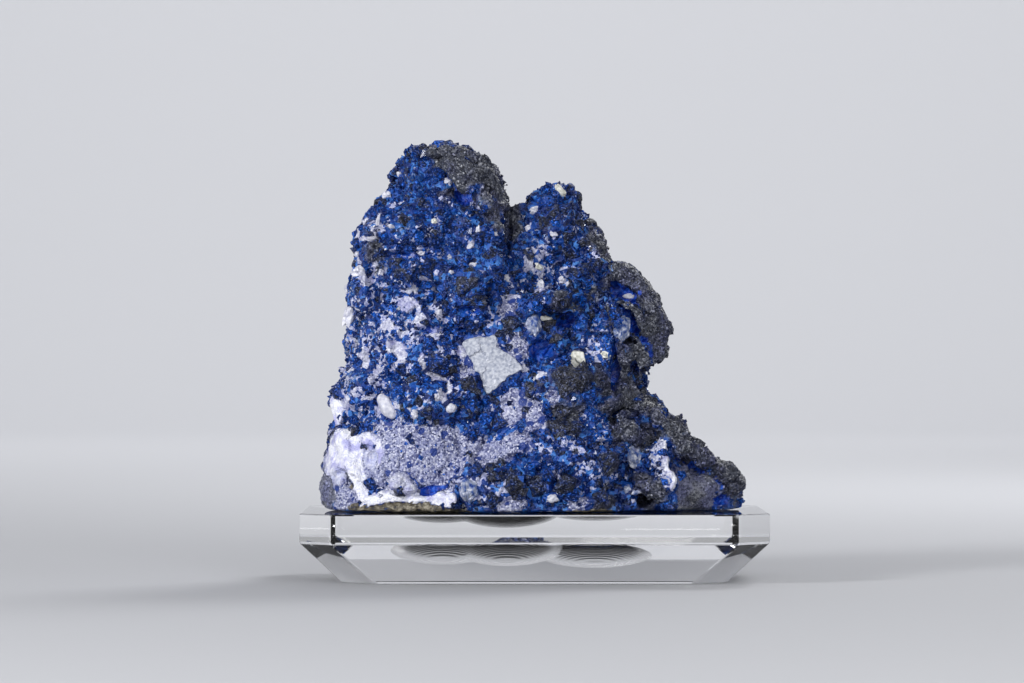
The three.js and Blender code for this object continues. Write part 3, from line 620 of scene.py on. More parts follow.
def add_node(tree, kind, inputs=None, stops=(), **settings):
    """Adds a shader node with its settings, and a ramp's stops as places and hex colours. Each input that
    is named or numbered gets a value, or a link where it is given a socket or a node, whose first output is
    taken. A Mix node's two colours are its inputs 6 and 7, and the mixed colour is its output 2."""
    node = tree.nodes.new(kind)
    for name, value in settings.items():
        setattr(node, name, value)
    for key, value in (inputs or {}).items():
        if isinstance(value, bpy.types.Node):
            value = value.outputs[0]
        if isinstance(value, bpy.types.NodeSocket):
            tree.links.new(value, node.inputs[key])
        else:
            node.inputs[key].default_value = value
    for number, (place, code) in enumerate(stops):
        elements = node.color_ramp.elements
        element = elements[number] if number < 2 else elements.new(place)
        element.position = place
        element.color = from_hex(code)
    return node


def grains(tree, where, size):
    """Grains of that size in millimetres: their pattern, and random numbers that differ between them."""
    pattern = add_node(tree, "ShaderNodeTexVoronoi", {"Vector": where, "Scale": 1 / (size * MM)})
    return pattern, add_node(tree, "ShaderNodeSeparateColor", {"Color": pattern.outputs["Color"]})


def lilac_cast(tree, where, colour):
    """The colour of a grey crust, which turns lilac in places a few millimetres across."""
    cloud = add_node(tree, "ShaderNodeTexNoise", {"Vector": where, "Scale": 1 / (9 * MM), "Detail": 2.0})
    share = add_node(tree, "ShaderNodeMapRange",
                     {"Value": cloud, "From Min": 0.42, "From Max": 0.6, "To Max": 0.8})
    cast = add_node(tree, "ShaderNodeMix", {0: share, 6: colour, 7: from_hex("c4c8ff")}, data_type="RGBA",
                    blend_type="MULTIPLY")
    return cast.outputs[2]


def vein_quartz():
    """Granular vein quartz: sugary white and lavender grains, waxy where massive, stained by fluorite, with
    painted shade on its white folds and a painted blue glow in its hollows.
    """
    material, tree, output = new_material("granular_vein_quartz")
    where = add_node(tree, "ShaderNodeTexCoord").outputs["Object"]
    quartz, white, crust, milky, hollow, soil = (
        add_node(tree, "ShaderNodeAttribute", attribute_name=name).outputs["Fac"] for name in COVERS
    )
    grain, grain_numbers = grains(tree, where, 0.6)
    lavender = add_node(tree, "ShaderNodeValToRGB", {"Fac": grain_numbers},
                        ((0.0, "2c3466"), (0.2, "565c8a"), (0.4, "8a8fb6"), (0.7, "adb1ce"),
                         (1.0, "d8daea")))
    gap = add_node(tree, "ShaderNodeMapRange",
                   {"Value": grain.outputs["Distance"], "From Min": 0.42, "From Max": 0.62, "To Max": 0.4})
    granular = add_node(tree, "ShaderNodeMix", {0: gap, 6: lavender, 7: from_hex("454c7a")},
                        data_type="RGBA")
    snow = add_node(tree, "ShaderNodeValToRGB", {"Fac": grain_numbers},
                    ((0.0, "ced1e8"), (0.25, "e2e4f2"), (1.0, "f8f8fc")))
    # Painted shade on the white quartz: lavender patches from a noise, partly the quartz's own lavender
    # tone and partly the shade of its folds painted in.
    fold_shade_cloud = add_node(tree, "ShaderNodeTexNoise", {"Vector": where, "Scale": 1 / (3.6 * MM), "Detail": 4.0})
    painted_fold_shade = add_node(tree, "ShaderNodeMapRange",
                          {"Value": fold_shade_cloud, "From Min": 0.46, "From Max": 0.64, "To Max": 0.8})
    shaded = add_node(tree, "ShaderNodeMix", {0: painted_fold_shade, 6: snow, 7: from_hex("9c9cd6")},
                      data_type="RGBA")
    sugar = add_node(tree, "ShaderNodeMix", {0: white, 6: granular.outputs[2], 7: shaded.outputs[2]},
                     data_type="RGBA")
    bleb, bleb_numbers = grains(tree, where, 3.6)
    bleb_reach = add_node(tree, "ShaderNodeMath", {0: bleb_numbers, 1: 0.5, 2: -0.06},
                          operation="MULTIPLY_ADD")
    bleb_limit = add_node(tree, "ShaderNodeMath", {0: milky, 1: 0.3, 2: bleb_reach},
                          operation="MULTIPLY_ADD")
    is_bleb = add_node(tree, "ShaderNodeMath", {0: bleb.outputs["Distance"], 1: bleb_limit},
                       operation="LESS_THAN")
    no_bleb = add_node(tree, "ShaderNodeMath", {0: white, 1: -2, 2: is_bleb}, operation="MULTIPLY_ADD",
                       use_clamp=True)
    dotted = add_node(tree, "ShaderNodeMix", {0: no_bleb, 6: sugar.outputs[2], 7: from_hex("1a3682")},
                      data_type="RGBA")
    ragged = add_node(tree, "ShaderNodeTexNoise", {"Vector": where, "Scale": 1 / (1.6 * MM), "Detail": 3.0})
    bent = add_node(tree, "ShaderNodeVectorMath", {0: ragged.outputs["Color"], "Scale": 2.2 * MM},
                    operation="SCALE")
    around = add_node(tree, "ShaderNodeVectorMath", {0: where, 1: bent}, operation="ADD")
    block_numbers = grains(tree, around, 1.9)[1]
    blue = add_node(tree, "ShaderNodeValToRGB", {"Fac": block_numbers},
                    ((0.0, "021040"), (0.35, "042c7a"), (0.7, "0d4ca6"), (1.0, "3c7ac8")))
    white_share = add_node(tree, "ShaderNodeMath", {0: milky, 1: 0.3, 2: 0.03}, operation="MULTIPLY_ADD")
    is_white = add_node(tree, "ShaderNodeMath", {0: block_numbers.outputs[1], 1: white_share},
                        operation="LESS_THAN")
    fleck = add_node(tree, "ShaderNodeValToRGB", {"Fac": grain_numbers},
                     ((0.0, "858bba"), (0.3, "a6abd0"), (1.0, "cdd0e6")))
    mosaic = add_node(tree, "ShaderNodeMix", {0: is_white, 6: blue, 7: fleck}, data_type="RGBA")
    reach = add_node(tree, "ShaderNodeMath", {0: ragged, 1: 1.4, 2: quartz}, operation="MULTIPLY_ADD")
    is_quartz = add_node(tree, "ShaderNodeMapRange", {"Value": reach, "From Min": 1.2, "From Max": 1.3})
    rocky = add_node(tree, "ShaderNodeMix", {0: is_quartz, 6: mosaic.outputs[2], 7: dotted.outputs[2]},
                     data_type="RGBA")
    crust_level = add_node(tree, "ShaderNodeMath", {0: white, 1: 0.5, 2: grain_numbers},
                           operation="MULTIPLY_ADD")
    grey = add_node(tree, "ShaderNodeValToRGB", {"Fac": crust_level},
                    ((0.0, "10141f"), (0.35, "262a38"), (0.75, "4a4e5b"), (1.0, "84868f")))
    lilac = lilac_cast(tree, where, grey.outputs[0])
    crusted = add_node(tree, "ShaderNodeMix", {0: crust, 6: rocky.outputs[2], 7: lilac}, data_type="RGBA")
    # The painted glow: a bright deep blue laid on the hollows by the hollow attribute, the fluorite's own
    # blue brightened to stand for light in their shade.
    painted_glow = add_node(tree, "ShaderNodeValToRGB", {"Fac": ragged},
                     ((0.35, "001c7c"), (0.5, "003cac"), (0.65, "1058c8")))
    deep = add_node(tree, "ShaderNodeMix", {0: hollow, 6: crusted.outputs[2], 7: painted_glow}, data_type="RGBA")
    brown = add_node(tree, "ShaderNodeValToRGB", {"Fac": ragged},
                     ((0.35, "2e2a22"), (0.5, "615a4c"), (0.65, "958e7e")))
    soil_reach = add_node(tree, "ShaderNodeMath", {0: ragged, 1: 1.6, 2: soil}, operation="MULTIPLY_ADD")
    is_soil = add_node(tree, "ShaderNodeMapRange", {"Value": soil_reach, "From Min": 1.1, "From Max": 1.6})
    colour = add_node(tree, "ShaderNodeMix", {0: is_soil, 6: deep.outputs[2], 7: brown}, data_type="RGBA")
    height = add_node(tree, "ShaderNodeBump",
                      {"Height": grain.outputs["Distance"], "Distance": -0.3 * MM, "Strength": 0.8})
    surface = add_node(tree, "ShaderNodeBsdfPrincipled",
                       {"Base Color": colour.outputs[2], "Roughness": 0.45, "IOR": 1.544, "Normal": height})
    tree.links.new(surface.outputs[0], output.inputs[0])
    return material


def finished(piece, material, node="fluorite_specimen"):
    """Gives a piece its material, and says that it stands for its solid and moves with it."""
    piece.data.materials.append(material)
    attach(piece, "root")
    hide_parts(node)


finished(rock, vein_quartz())

# --------------------------------------------------------------------------------------
# White inclusions
# A large cleavage face of pale calcite in the middle of the show side, and smaller chips and pebbles of
# cream calcite and milk quartz that the vein caught up.
# --------------------------------------------------------------------------------------
rock_shape = bmesh.new()
rock_shape.from_mesh(rock.data)
rock_surface = BVHTree.FromBMesh(rock_shape)
rock_shape.free()
# How thick the plates are, how far they stand proud, and how much wider than them the rock is pushed back.
PLATE_DEPTH = 7
PLATE_PROUD = 1.4
PLATE_MARGIN = 1.2
# Well in front of the rock.
IN_FRONT = -100
# The outlines as x and z, clockwise from the top left.
CALCITE_OUTLINE = [
    (-23.6, 55.2), (-21, 56.4), (-17.9, 57.1), (-15.6, 57), (-13.1, 58), (-11.8, 55.9), (-12.6, 53.8),
    (-10, 52.6), (-6.9, 50.6), (-3.4, 46.8), (-7.5, 44.7), (-10, 43), (-11.9, 40.9), (-15.6, 38),
    (-16.6, 41), (-17.4, 44.8), (-19.4, 46.2), (-20.6, 49.6), (-22.4, 52.4),
]
CREAM_OUTLINE = [
    (11.7, 51.2), (12.6, 52.6), (15.8, 52.4), (16.6, 49.6), (17.2, 47.6), (14.4, 46.8), (11.9, 47),
]


def front_spot(x, z):
    """The show side at x and z: its place in millimetres above the stand's top, and its normal."""
    hit, normal, _, _ = rock_surface.ray_cast(Vector((x, IN_FRONT, z + STAND_TOP)) * MM, Vector((0, 1, 0)))
    # Beside the rock's outline, the nearest place on it is taken.
    if hit is None:
        hit, normal, _, _ = rock_surface.find_nearest(Vector((x, 0, z + STAND_TOP)) * MM)
    return hit / MM - Vector((0, 0, STAND_TOP)), normal


def cleavage_plate(name, outline, voxel, roughness):
    """A broken plate of that outline in the show side, with the rock round it pushed back behind its
    face."""
    bm = bmesh.new()
    bm.faces.new([bm.verts.new((x, 0, z)) for x, z in outline])
    sunk = bmesh.ops.extrude_face_region(bm, geom=bm.faces[:])["geom"]
    bmesh.ops.translate(bm, vec=(0, PLATE_DEPTH, 0),
                        verts=[v for v in sunk if isinstance(v, bmesh.types.BMVert)])
    bmesh.ops.recalc_face_normals(bm, faces=bm.faces)
    bmesh.ops.triangulate(bm, faces=bm.faces)
    plate = new_piece(name, bm)
    apply_modifier(plate, "REMESH", mode="VOXEL", voxel_size=voxel * MM)
    corners = [Vector(corner) for corner in outline]
    middle = sum(corners, Vector((0, 0))) / len(corners)
    face_y = np.median([front_spot(x, z)[0].y for x, z in outline]) - PLATE_PROUD
    # Its face leans a little and is broken into flats, and its outline is ragged.
    places, _ = coordinates(plate.data)
    for place in places:
        p = Vector(place)
        place[1] += face_y + 0.05 * (p.z - middle.y) + 0.1 * facets(p, 6) + roughness * noise.noise(p / 0.9)
        place[0] += 0.5 * noise.noise(p / 1.5 + Vector((5, 5, 5)))
        place[2] += 0.5 * noise.noise(p / 1.5 + Vector((9, 9, 9)))
    move_to(plate.data, places)
    places, _ = coordinates(rock.data)
    wider = [tuple(middle + PLATE_MARGIN * (corner - middle)) for corner in corners]
    hides = (places[:, 1] < face_y + PLATE_PROUD) & inside(wider, places[:, 0], places[:, 2])
    places[hides, 1] = face_y + PLATE_PROUD
    move_to(rock.data, places)
    return plate


def calcite(name, stops):
    """Calcite broken along its cleavage: pale, satin, with faint cracks and clouds."""
    material, tree, output = new_material(name)
    where = add_node(tree, "ShaderNodeTexCoord").outputs["Object"]
    cloud = add_node(tree, "ShaderNodeTexNoise", {"Vector": where, "Scale": 1 / (0.9 * MM), "Detail": 7.0})
    colour = add_node(tree, "ShaderNodeValToRGB", {"Fac": cloud}, stops)
    height = add_node(tree, "ShaderNodeBump", {"Height": cloud, "Distance": 0.2 * MM, "Strength": 0.2})
    surface = add_node(tree, "ShaderNodeBsdfPrincipled",
                       {"Base Color": colour, "Roughness": 0.4, "IOR": 1.6, "Normal": height})
    tree.links.new(surface.outputs[0], output.inputs[0])
    return material


def clouded(tree, where, stops, size, detail, share, offset):
    """A colour of the stops, by a crystal's tint and a share of clouds of that size in millimetres."""
    tint = add_node(tree, "ShaderNodeAttribute", attribute_name="tint")
    cloud = add_node(tree, "ShaderNodeTexNoise",
                     {"Vector": where, "Scale": 1 / (size * MM), "Detail": detail})
    uneven = add_node(tree, "ShaderNodeMath", {0: cloud, 1: share, 2: tint.outputs["Fac"]},
                      operation="MULTIPLY_ADD")
    level = add_node(tree, "ShaderNodeMath", {0: uneven, 1: offset}, operation="SUBTRACT")
    return add_node(tree, "ShaderNodeValToRGB", {"Fac": level}, stops)


def speckled_quartz():
    """White quartz, mottled by blue fluorite grown into it in clouds and specks."""
    material, tree, output = new_material("fluorite_speckled_quartz")
    where = add_node(tree, "ShaderNodeTexCoord").outputs["Object"]
    stops = ((0.0, "0a2c7c"), (0.2, "24509c"), (0.3, "7482a6"), (0.6, "9aa2bc"), (0.8, "d4d7e2"),
             (1.0, "ecedf3"))
    stain = clouded(tree, where, stops, size=1.7, detail=5.0, share=2.6, offset=1.3)
    grain, numbers = grains(tree, where, 0.55)
    dark = add_node(tree, "ShaderNodeMapRange",
                    {"Value": numbers, "From Min": 0.5, "From Max": 1.0, "To Max": 0.6})
    colour = add_node(tree, "ShaderNodeMix", {0: dark, 6: stain, 7: from_hex("4a5c94")}, data_type="RGBA")
    height = add_node(tree, "ShaderNodeBump",
                      {"Height": grain.outputs["Distance"], "Distance": -0.3 * MM, "Strength": 0.8})
    surface = add_node(tree, "ShaderNodeBsdfPrincipled",
                       {"Base Color": colour.outputs[2], "Roughness": 0.4, "IOR": 1.544, "Normal": height})
    tree.links.new(surface.outputs[0], output.inputs[0])
    return material


plate = cleavage_plate("calcite_cleavage", CALCITE_OUTLINE, voxel=0.45, roughness=0.06)
finished(plate, calcite("pale_calcite", ((0.34, "858c9f"), (0.48, "a4a9b8"), (0.62, "bfc3cd"))))
block = cleavage_plate("cream_calcite_block", CREAM_OUTLINE, voxel=0.35, roughness=0.08)
cream = calcite("cream_calcite", ((0.3, "a8aa9e"), (0.45, "cfcfc4"), (0.6, "e2e2da")))
finished(block, cream)

# Chips and pebbles: x, z, half-width, half-height, lean in degrees.
CREAM_CHIPS = [
    (3.4, 62.8, 2.2, 1.2, -5), (8.8, 105.4, 1.2, 2.6, -38), (1.3, 80.2, 1.6, 1.2, 20), (-33, 95, 1.1, 1, 0),
    (23.4, 51.3, 1.6, 1.0, 30),
]
ROUND_PEBBLES = [(-48.0, 34.4, 2.6, 4.7, -30), (-27, 34, 1.8, 1.6, 0)]
WHITE_BITS = [
    (-60.5, 66, 1.8, 5.2, 8), (-61.5, 73, 1.2, 1.4, 0), (-28, 108.2, 1.3, 1.6, -15),
    (-51.5, 94, 0.6, 4.0, 12), (-53, 89.6, 1.8, 0.7, -10), (-9, 76, 1.4, 1.2, 0), (0.2, 98.8, 1.5, 1.4, 0),
    (-2, 93, 1.1, 0.9, -30), (-12.9, 91, 0.9, 0.9, 0), (6.3, 91, 1.3, 0.7, 10), (-18.5, 92, 0.8, 1.5, 10),
    (31.2, 70.2, 1.9, 0.9, 10), (-39, 32.3, 1.1, 1.6, 0), (-31.5, 38, 1.3, 1.6, 0), (5.8, 4.8, 1.6, 1.2, 0),
    (-47, 93, 1.2, 1.2, 0), (2, 74, 1.0, 1.8, 10), (9, 76, 1.0, 1.0, 0), (11, 74, 0.6, 1.4, 0),
    (-48.6, 103.6, 1.4, 1.6, 0), (-44.6, 111, 0.9, 0.8, 0), (-37, 84.8, 1.3, 0.9, -20),
    (-27.8, 83.2, 0.7, 0.7, 0), (-27.1, 78.2, 0.8, 0.7, 0), (-19.8, 80.5, 1.2, 1.0, 20),
    (-21, 86.8, 1.5, 0.9, -35), (-57.6, 78.2, 2.2, 1.9, 10), (-50.3, 78.2, 0.9, 1.1, 0),
    (-59.5, 84.8, 0.8, 1.0, 0),
]
BLUE_WHITE_STONES = [
    (28.8, 59.6, 2.6, 4.2, 18), (-21.5, 7.5, 3.2, 4.0, -10), (-0.2, 60.8, 2.5, 4.0, 8),
    (32.2, 18, 2.1, 3.0, -15), (30.2, 7.8, 1.1, 1.6, 20), (33.2, 6.8, 1.7, 0.8, -15),
]


def add_stone(bm, x, z, half_width, half_height, lean, subdivisions, roughness, angles):
    """Adds a small stone set half into the show side. Roughness makes it uneven, and angles break it."""
    spot, normal = front_spot(x, z)
    stone = bmesh.ops.create_icosphere(bm, subdivisions=subdivisions, radius=1)["verts"]
    for vertex in stone:
        unevenness = roughness * noise.noise(vertex.co * 1.3 + spot)
        vertex.co *= 1 + unevenness + angles * facets(vertex.co + spot, 0.9)
    half_depth = 0.9 * min(half_width, half_height)
    shape = Matrix.Diagonal((half_width, half_depth, half_height, 1))
    along = Vector((0, -1, 0)).rotation_difference(normal + Vector((0, -1, 0))).to_matrix().to_4x4()
    turn = along @ Matrix.Rotation(math.radians(lean), 4, "Y")
    bmesh.ops.transform(bm, matrix=Matrix.Translation(spot) @ turn @ shape, verts=stone)


def stones(name, rows, **shape):
    """A piece of several small stones."""
    bm = bmesh.new()
    for row in rows:
        add_stone(bm, *row, **shape)
    return new_piece(name, bm)


def milk_quartz():
    """Milk quartz: white and waxy, with soft clouds in it."""
    material, tree, output = new_material("milk_quartz")
    where = add_node(tree, "ShaderNodeTexCoord").outputs["Object"]
    cloud = add_node(tree, "ShaderNodeTexNoise", {"Vector": where, "Scale": 1 / (1.2 * MM), "Detail": 5.0})
    colour = add_node(tree, "ShaderNodeValToRGB", {"Fac": cloud}, ((0.35, "b2b4c6"), (0.65, "dcdce4")))
    surface = add_node(tree, "ShaderNodeBsdfPrincipled",
                       {"Base Color": colour, "Roughness": 0.35, "IOR": 1.55})
    tree.links.new(surface.outputs[0], output.inputs[0])
    return material


chips = stones("cream_chips", CREAM_CHIPS, subdivisions=3, roughness=0.2, angles=0.5)
finished(chips, cream)
milk = milk_quartz()
pebbles = stones("milk_quartz_pebbles", ROUND_PEBBLES, subdivisions=4, roughness=0.2, angles=0.06)
finished(pebbles, milk)
bits = stones("milk_quartz_bits", WHITE_BITS, subdivisions=3, roughness=0.3, angles=0.6)
finished(bits, milk)
# How white the blue-stained stones are, from 0 to 1.
STAINED_WHITENESS = 0.46
blue_stones = stones("blue_stained_stones", BLUE_WHITE_STONES, subdivisions=4, roughness=0.35, angles=0.35)
set_attribute(blue_stones.data, "tint", np.full(len(blue_stones.data.vertices), STAINED_WHITENESS))
finished(blue_stones, speckled_quartz())

# --------------------------------------------------------------------------------------
# Frosted crystals
# Octahedra of fluorite with blunted corners, up to 12 mm across. Their faces are etched, so they look slate
# blue and grainy rather than glassy. They sit deep in the rock, most with a face outwards.
# --------------------------------------------------------------------------------------
rock.data.calc_loop_triangles()
corners = np.empty(len(rock.data.loop_triangles) * 3, dtype=np.int32)
rock.data.loop_triangles.foreach_get("vertices", corners)
corners = corners.reshape(-1, 3)
rock_places, rock_normals = coordinates(rock.data)
first, second, third = (rock_places[corners[:, i]] for i in range(3))
area_sums = np.cumsum(np.linalg.norm(np.cross(second - first, third - first), axis=1) / 2)
rng = np.random.default_rng(20)
# No crystal's centre is lower.
LOWEST_CRYSTAL = 1.2
inclusions = bmesh.new()
for piece in (plate, block, chips, pebbles, bits, blue_stones):
    inclusions.from_mesh(piece.data)
inclusion_surface = BVHTree.FromBMesh(inclusions)
inclusions.free()


def clear_of_inclusions(places, radii):
    """Which crystals leave the white inclusions showing."""
    clear = []
    for place, radius in zip(places, radii):
        centre = (Vector(place) + Vector((0, 0, STAND_TOP))) * MM
        clear.append(inclusion_surface.find_nearest(centre, radius * 0.9 * MM)[0] is None)
    return np.array(clear)


def scattered(count):
    """Random spots on the clean rock: places, normals, and shares of quartz, white, crust and milky."""
    face = corners[np.searchsorted(area_sums, rng.random(count) * area_sums[-1])]
    a, b = rng.random(count), rng.random(count)
    over = a + b > 1
    a[over], b[over] = 1 - a[over], 1 - b[over]
    weights = np.stack([1 - a - b, a, b], axis=1)[:, :, None]
    shut = np.maximum.reduce([1.2 * soil_cover, painted_glow_share, laid == "gap"])
    covers = [quartz_cover, white_cover, crust_cover, milky_cover, shut]
    fields = np.column_stack([rock_places, rock_normals, *covers])
    values = (fields[face] * weights).sum(axis=1)
    values = values[(values[:, 2] > LOWEST_CRYSTAL) & (values[:, 10] < 0.3 + 0.5 * rng.random(len(values)))]
    normals = values[:, 3:6] / np.linalg.norm(values[:, 3:6], axis=1)[:, None]
    return values[:, :3], normals, *values[:, 6:10].T


def clouds(places, size):
    """Smooth random numbers around 0 that change over about that many millimetres."""
    return np.array([noise.noise(Vector(place) / size) for place in places])


def crystal_shape(*steps):
    """An octahedron of radius 1, shaped by steps on its bmesh, as arrays of vertices and triangles."""
    bm = bmesh.new()
    for axis in np.vstack([np.eye(3), -np.eye(3)]):
        bm.verts.new(axis)
    bmesh.ops.convex_hull(bm, input=bm.verts)
    for step in steps:
        step(bm)
    bmesh.ops.recalc_face_normals(bm, faces=bm.faces)
    bmesh.ops.triangulate(bm, faces=bm.faces)
    bm.verts.index_update()
    shape = np.array([v.co for v in bm.verts]), np.array([[v.index for v in f.verts] for f in bm.faces])
    bm.free()
    return shape


# How much of a crystal's edges its worn corners take, and how far down its buried part is cut off.
CORNER_WEAR = 0.36
BASE_CUT = -0.3


def blunt_corners(bm):
    """Cuts an octahedron's corners off with small cube faces."""
    bmesh.ops.bevel(bm, geom=bm.verts[:], offset=CORNER_WEAR, affect="VERTICES", segments=1, profile=0.5,
                    material=-1)


def lie_on_face(bm):
    """Turns an octahedron so that it lies on a face."""
    turn = Vector((1, 1, 1)).rotation_difference(Vector((0, 0, 1)))
    bmesh.ops.transform(bm, matrix=turn.to_matrix().to_4x4(), verts=bm.verts)


def flatten_base(bm):
    """Cuts off the part that is buried in the rock."""
    cut = bmesh.ops.bisect_plane(bm, geom=bm.verts[:] + bm.edges[:] + bm.faces[:],
                                 plane_co=(0, 0, BASE_CUT), plane_no=(0, 0, -1), clear_outer=True)
    rim = [e for e in cut["geom_cut"] if isinstance(e, bmesh.types.BMEdge)]
    bmesh.ops.holes_fill(bm, edges=rim, sides=0)
    bmesh.ops.dissolve_limit(bm, angle_limit=0.01, verts=bm.verts, edges=bm.edges)


def pitted(bm):
    """Breaks a crystal's faces up into an uneven, etched surface."""
    bmesh.ops.subdivide_edges(bm, edges=bm.edges, cuts=2, use_grid_fill=True)
    for vertex in bm.verts:
        spot = vertex.co * 3
        vertex.co *= 1 + 0.14 * noise.noise(spot) - 0.12 * abs(noise.noise(spot * 2.6))


CORNER_OUT = crystal_shape()
FACE_OUT = crystal_shape(lie_on_face)
BLUNT_CORNER_OUT = crystal_shape(blunt_corners, flatten_base)
BLUNT_FACE_OUT = crystal_shape(blunt_corners, lie_on_face, flatten_base)
PITTED_CORNER_OUT = crystal_shape(pitted)
PITTED_FACE_OUT = crystal_shape(lie_on_face, pitted)


def turned(normals, lean):
    """Turns that stand a shape along each normal, spun at random and leaning by about that many radians."""
    up = normals + lean * rng.normal(size=normals.shape)
    up /= np.linalg.norm(up, axis=1)[:, None]
    side = np.cross(up, rng.normal(size=normals.shape))
    side /= np.linalg.norm(side, axis=1)[:, None]
    return np.stack([side, np.cross(up, side), up], axis=2)


def grown(name, material, crystals, shapes, sunk, lean, unevenness):
    """One piece of many crystals. Each of crystals is an array: places, normals, radii, and tints from 0 to
    1. They take the shapes in turn, sunk by a share of their radius, and stop above the stand."""
    places, normals, radii, tints = crystals
    places = places - normals * (sunk * radii)[:, None]
    turns = turned(normals, lean)
    sizes = radii[:, None] * (1 + unevenness * (rng.random((len(radii), 3)) - 0.5))
    vertices, faces, vertex_tints, start = [], [], [], 0
    for number, (shape, triangles) in enumerate(shapes):
        own = slice(number, None, len(shapes))
        moved = np.einsum("nij,nkj->nki", turns[own], shape[None] * sizes[own][:, None, :])
        moved += places[own][:, None, :]
        moved[:, :, 2] = np.maximum(moved[:, :, 2], FIT_GAP)
        offsets = start + np.arange(len(moved)) * len(shape)
        vertices.append(moved.reshape(-1, 3))
        faces.append((triangles[None] + offsets[:, None, None]).reshape(-1, 3))
        vertex_tints.append(np.repeat(tints[own], len(shape)))
        start += len(moved) * len(shape)
    mesh = bpy.data.meshes.new(name)
    mesh.from_pydata(np.concatenate(vertices).tolist(), [], np.concatenate(faces).tolist())
    set_attribute(mesh, "tint", np.concatenate(vertex_tints))
    finished(new_piece(name, mesh), material)


def frosted_fluorite():
    """Etched fluorite: slate blue to grey, with a grainy frost whose lighter and darker grains are partly
    its own tone and partly painted sparkle, and with glints painted on its brightest grains.
    """
    material, tree, output = new_material("frosted_slate_fluorite")
    where = add_node(tree, "ShaderNodeTexCoord").outputs["Object"]
    stops = ((0.0, "104ca4"), (0.2, "083078"), (0.45, "102454"), (0.7, "252b42"), (1.0, "3e3f47"))
    base = clouded(tree, where, stops, size=1.8, detail=4.0, share=2.2, offset=1.12)
    numbers = grains(tree, where, 0.38)[1]
    # The grains' brightness is partly their own tone and partly painted sparkle, and the brightest get
    # painted glints of pale blue-grey.
    share = add_node(tree, "ShaderNodeMath", {0: numbers, 1: 1.6}, operation="POWER")
    strength = add_node(tree, "ShaderNodeMapRange", {"Value": share, "To Min": 0.2, "To Max": 2.4})
    frost = add_node(tree, "ShaderNodeVectorMath", {0: base, "Scale": strength}, operation="SCALE")
    glint = add_node(tree, "ShaderNodeMapRange",
                     {"Value": numbers, "From Min": 0.85, "From Max": 1.0, "To Max": 0.45})
    colour = add_node(tree, "ShaderNodeMix", {0: glint, 6: frost, 7: from_hex("8c9acc")}, data_type="RGBA")
    groove = add_node(tree, "ShaderNodeTexVoronoi", {"Vector": where, "Scale": 1 / (1.0 * MM)})
    coarse = add_node(tree, "ShaderNodeBump",
                      {"Height": groove.outputs["Distance"], "Distance": -0.5 * MM, "Strength": 0.8})
    height = add_node(tree, "ShaderNodeBump",
                      {"Height": numbers.outputs[1], "Distance": 0.3 * MM, "Strength": 0.8,
                       "Normal": coarse})
    surface = add_node(tree, "ShaderNodeBsdfPrincipled",
                       {"Base Color": colour.outputs[2], "Roughness": 0.4, "IOR": 1.434,
                        "Specular IOR Level": 0.25, "Normal": height})
    tree.links.new(surface.outputs[0], output.inputs[0])
    return material


# The largest ones of the show side: x, z, distance across, and tint from dark blue to grey.
LARGE_CRYSTALS = [
    (-22, 74, 10, 0.8), (-19, 70, 7, 0.6), (-28, 67, 7, 0.5), (-24, 63, 6, 0.3), (-20, 61, 6, 0.45),
    (-16, 61, 5, 0.5), (-35, 79, 8, 0.5), (-41, 77, 6, 0.5), (-45.5, 81, 6, 0.5), (-43, 95.5, 6, 1.0),
    (-50, 84, 7, 0.6), (-31, 49, 8, 0.45), (-29, 56, 6, 0.3), (-34, 54, 5, 0.35), (-39, 43, 7, 0.55),
    (-43, 47, 6, 0.4), (-35, 33, 6, 0.6), (-37.5, 36, 5, 0.7), (-41, 31, 5, 0.3), (-21, 41, 9, 0.8),
    (-20, 35.5, 7, 0.2), (-13, 36, 6, 0.6), (-12, 29, 7, 0.45), (-20, 25, 5, 0.25), (-1, 40, 8, 0.75),
    (-6, 42, 4, 0.3), (10, 43, 12, 0.9), (15.5, 44, 8, 0.95), (17, 41, 6, 0.6), (9, 33, 11, 0.85),
    (8, 27.5, 8, 0.8), (13, 27, 6, 0.7), (3.5, 33, 5, 0.4), (-14, 14.5, 9, 0.75), (-18.5, 14, 6, 0.35),
    (-7.5, 9, 9, 0.8), (-5, 6, 6, 0.8), (1, 8, 8, 0.7), (3, 9, 6, 0.65), (11, 10, 9, 0.8), (12, 6, 7, 0.3),
    (-14, 5, 6, 0.55), (21, 5.5, 7, 0.65), (24, 17, 7, 0.7), (5, 60, 6, 0.85), (8, 57, 6, 0.8),
    (13, 58, 5, 0.5), (10, 68, 8, 0.75), (5, 66.5, 6, 0.6), (0, 70, 6, 0.6), (-8, 61, 7, 0.75),
    (-11, 58, 5, 0.8), (-4, 60, 5, 0.5), (-12, 73, 6, 0.5), (13, 73, 7, 0.65), (12, 78, 6, 0.55),
    (8, 85, 6, 0.45), (14, 84, 5, 0.6), (18, 79, 5, 0.6), (21, 71, 6, 0.6), (19, 67, 4, 0.5),
    (10.8, 85.4, 6, 0.7), (10.8, 90, 5, 0.75), (3.7, 94.6, 5, 0.8), (15, 94.6, 5, 0.8), (-1.5, 84, 5, 0.7),
    (17, 88, 5, 0.8), (6, 96.7, 6.5, 0.8), (10, 99, 6, 0.5), (-14, 84, 6, 0.6), (-18, 90, 7, 0.5),
    (-27, 92, 6, 0.4), (-35, 100, 6, 0.45), (-33, 88, 6, 0.4), (-24, 82, 6, 0.4),
]
# A large crystal's radius against the distance across.
LARGE_RADIUS = 0.6
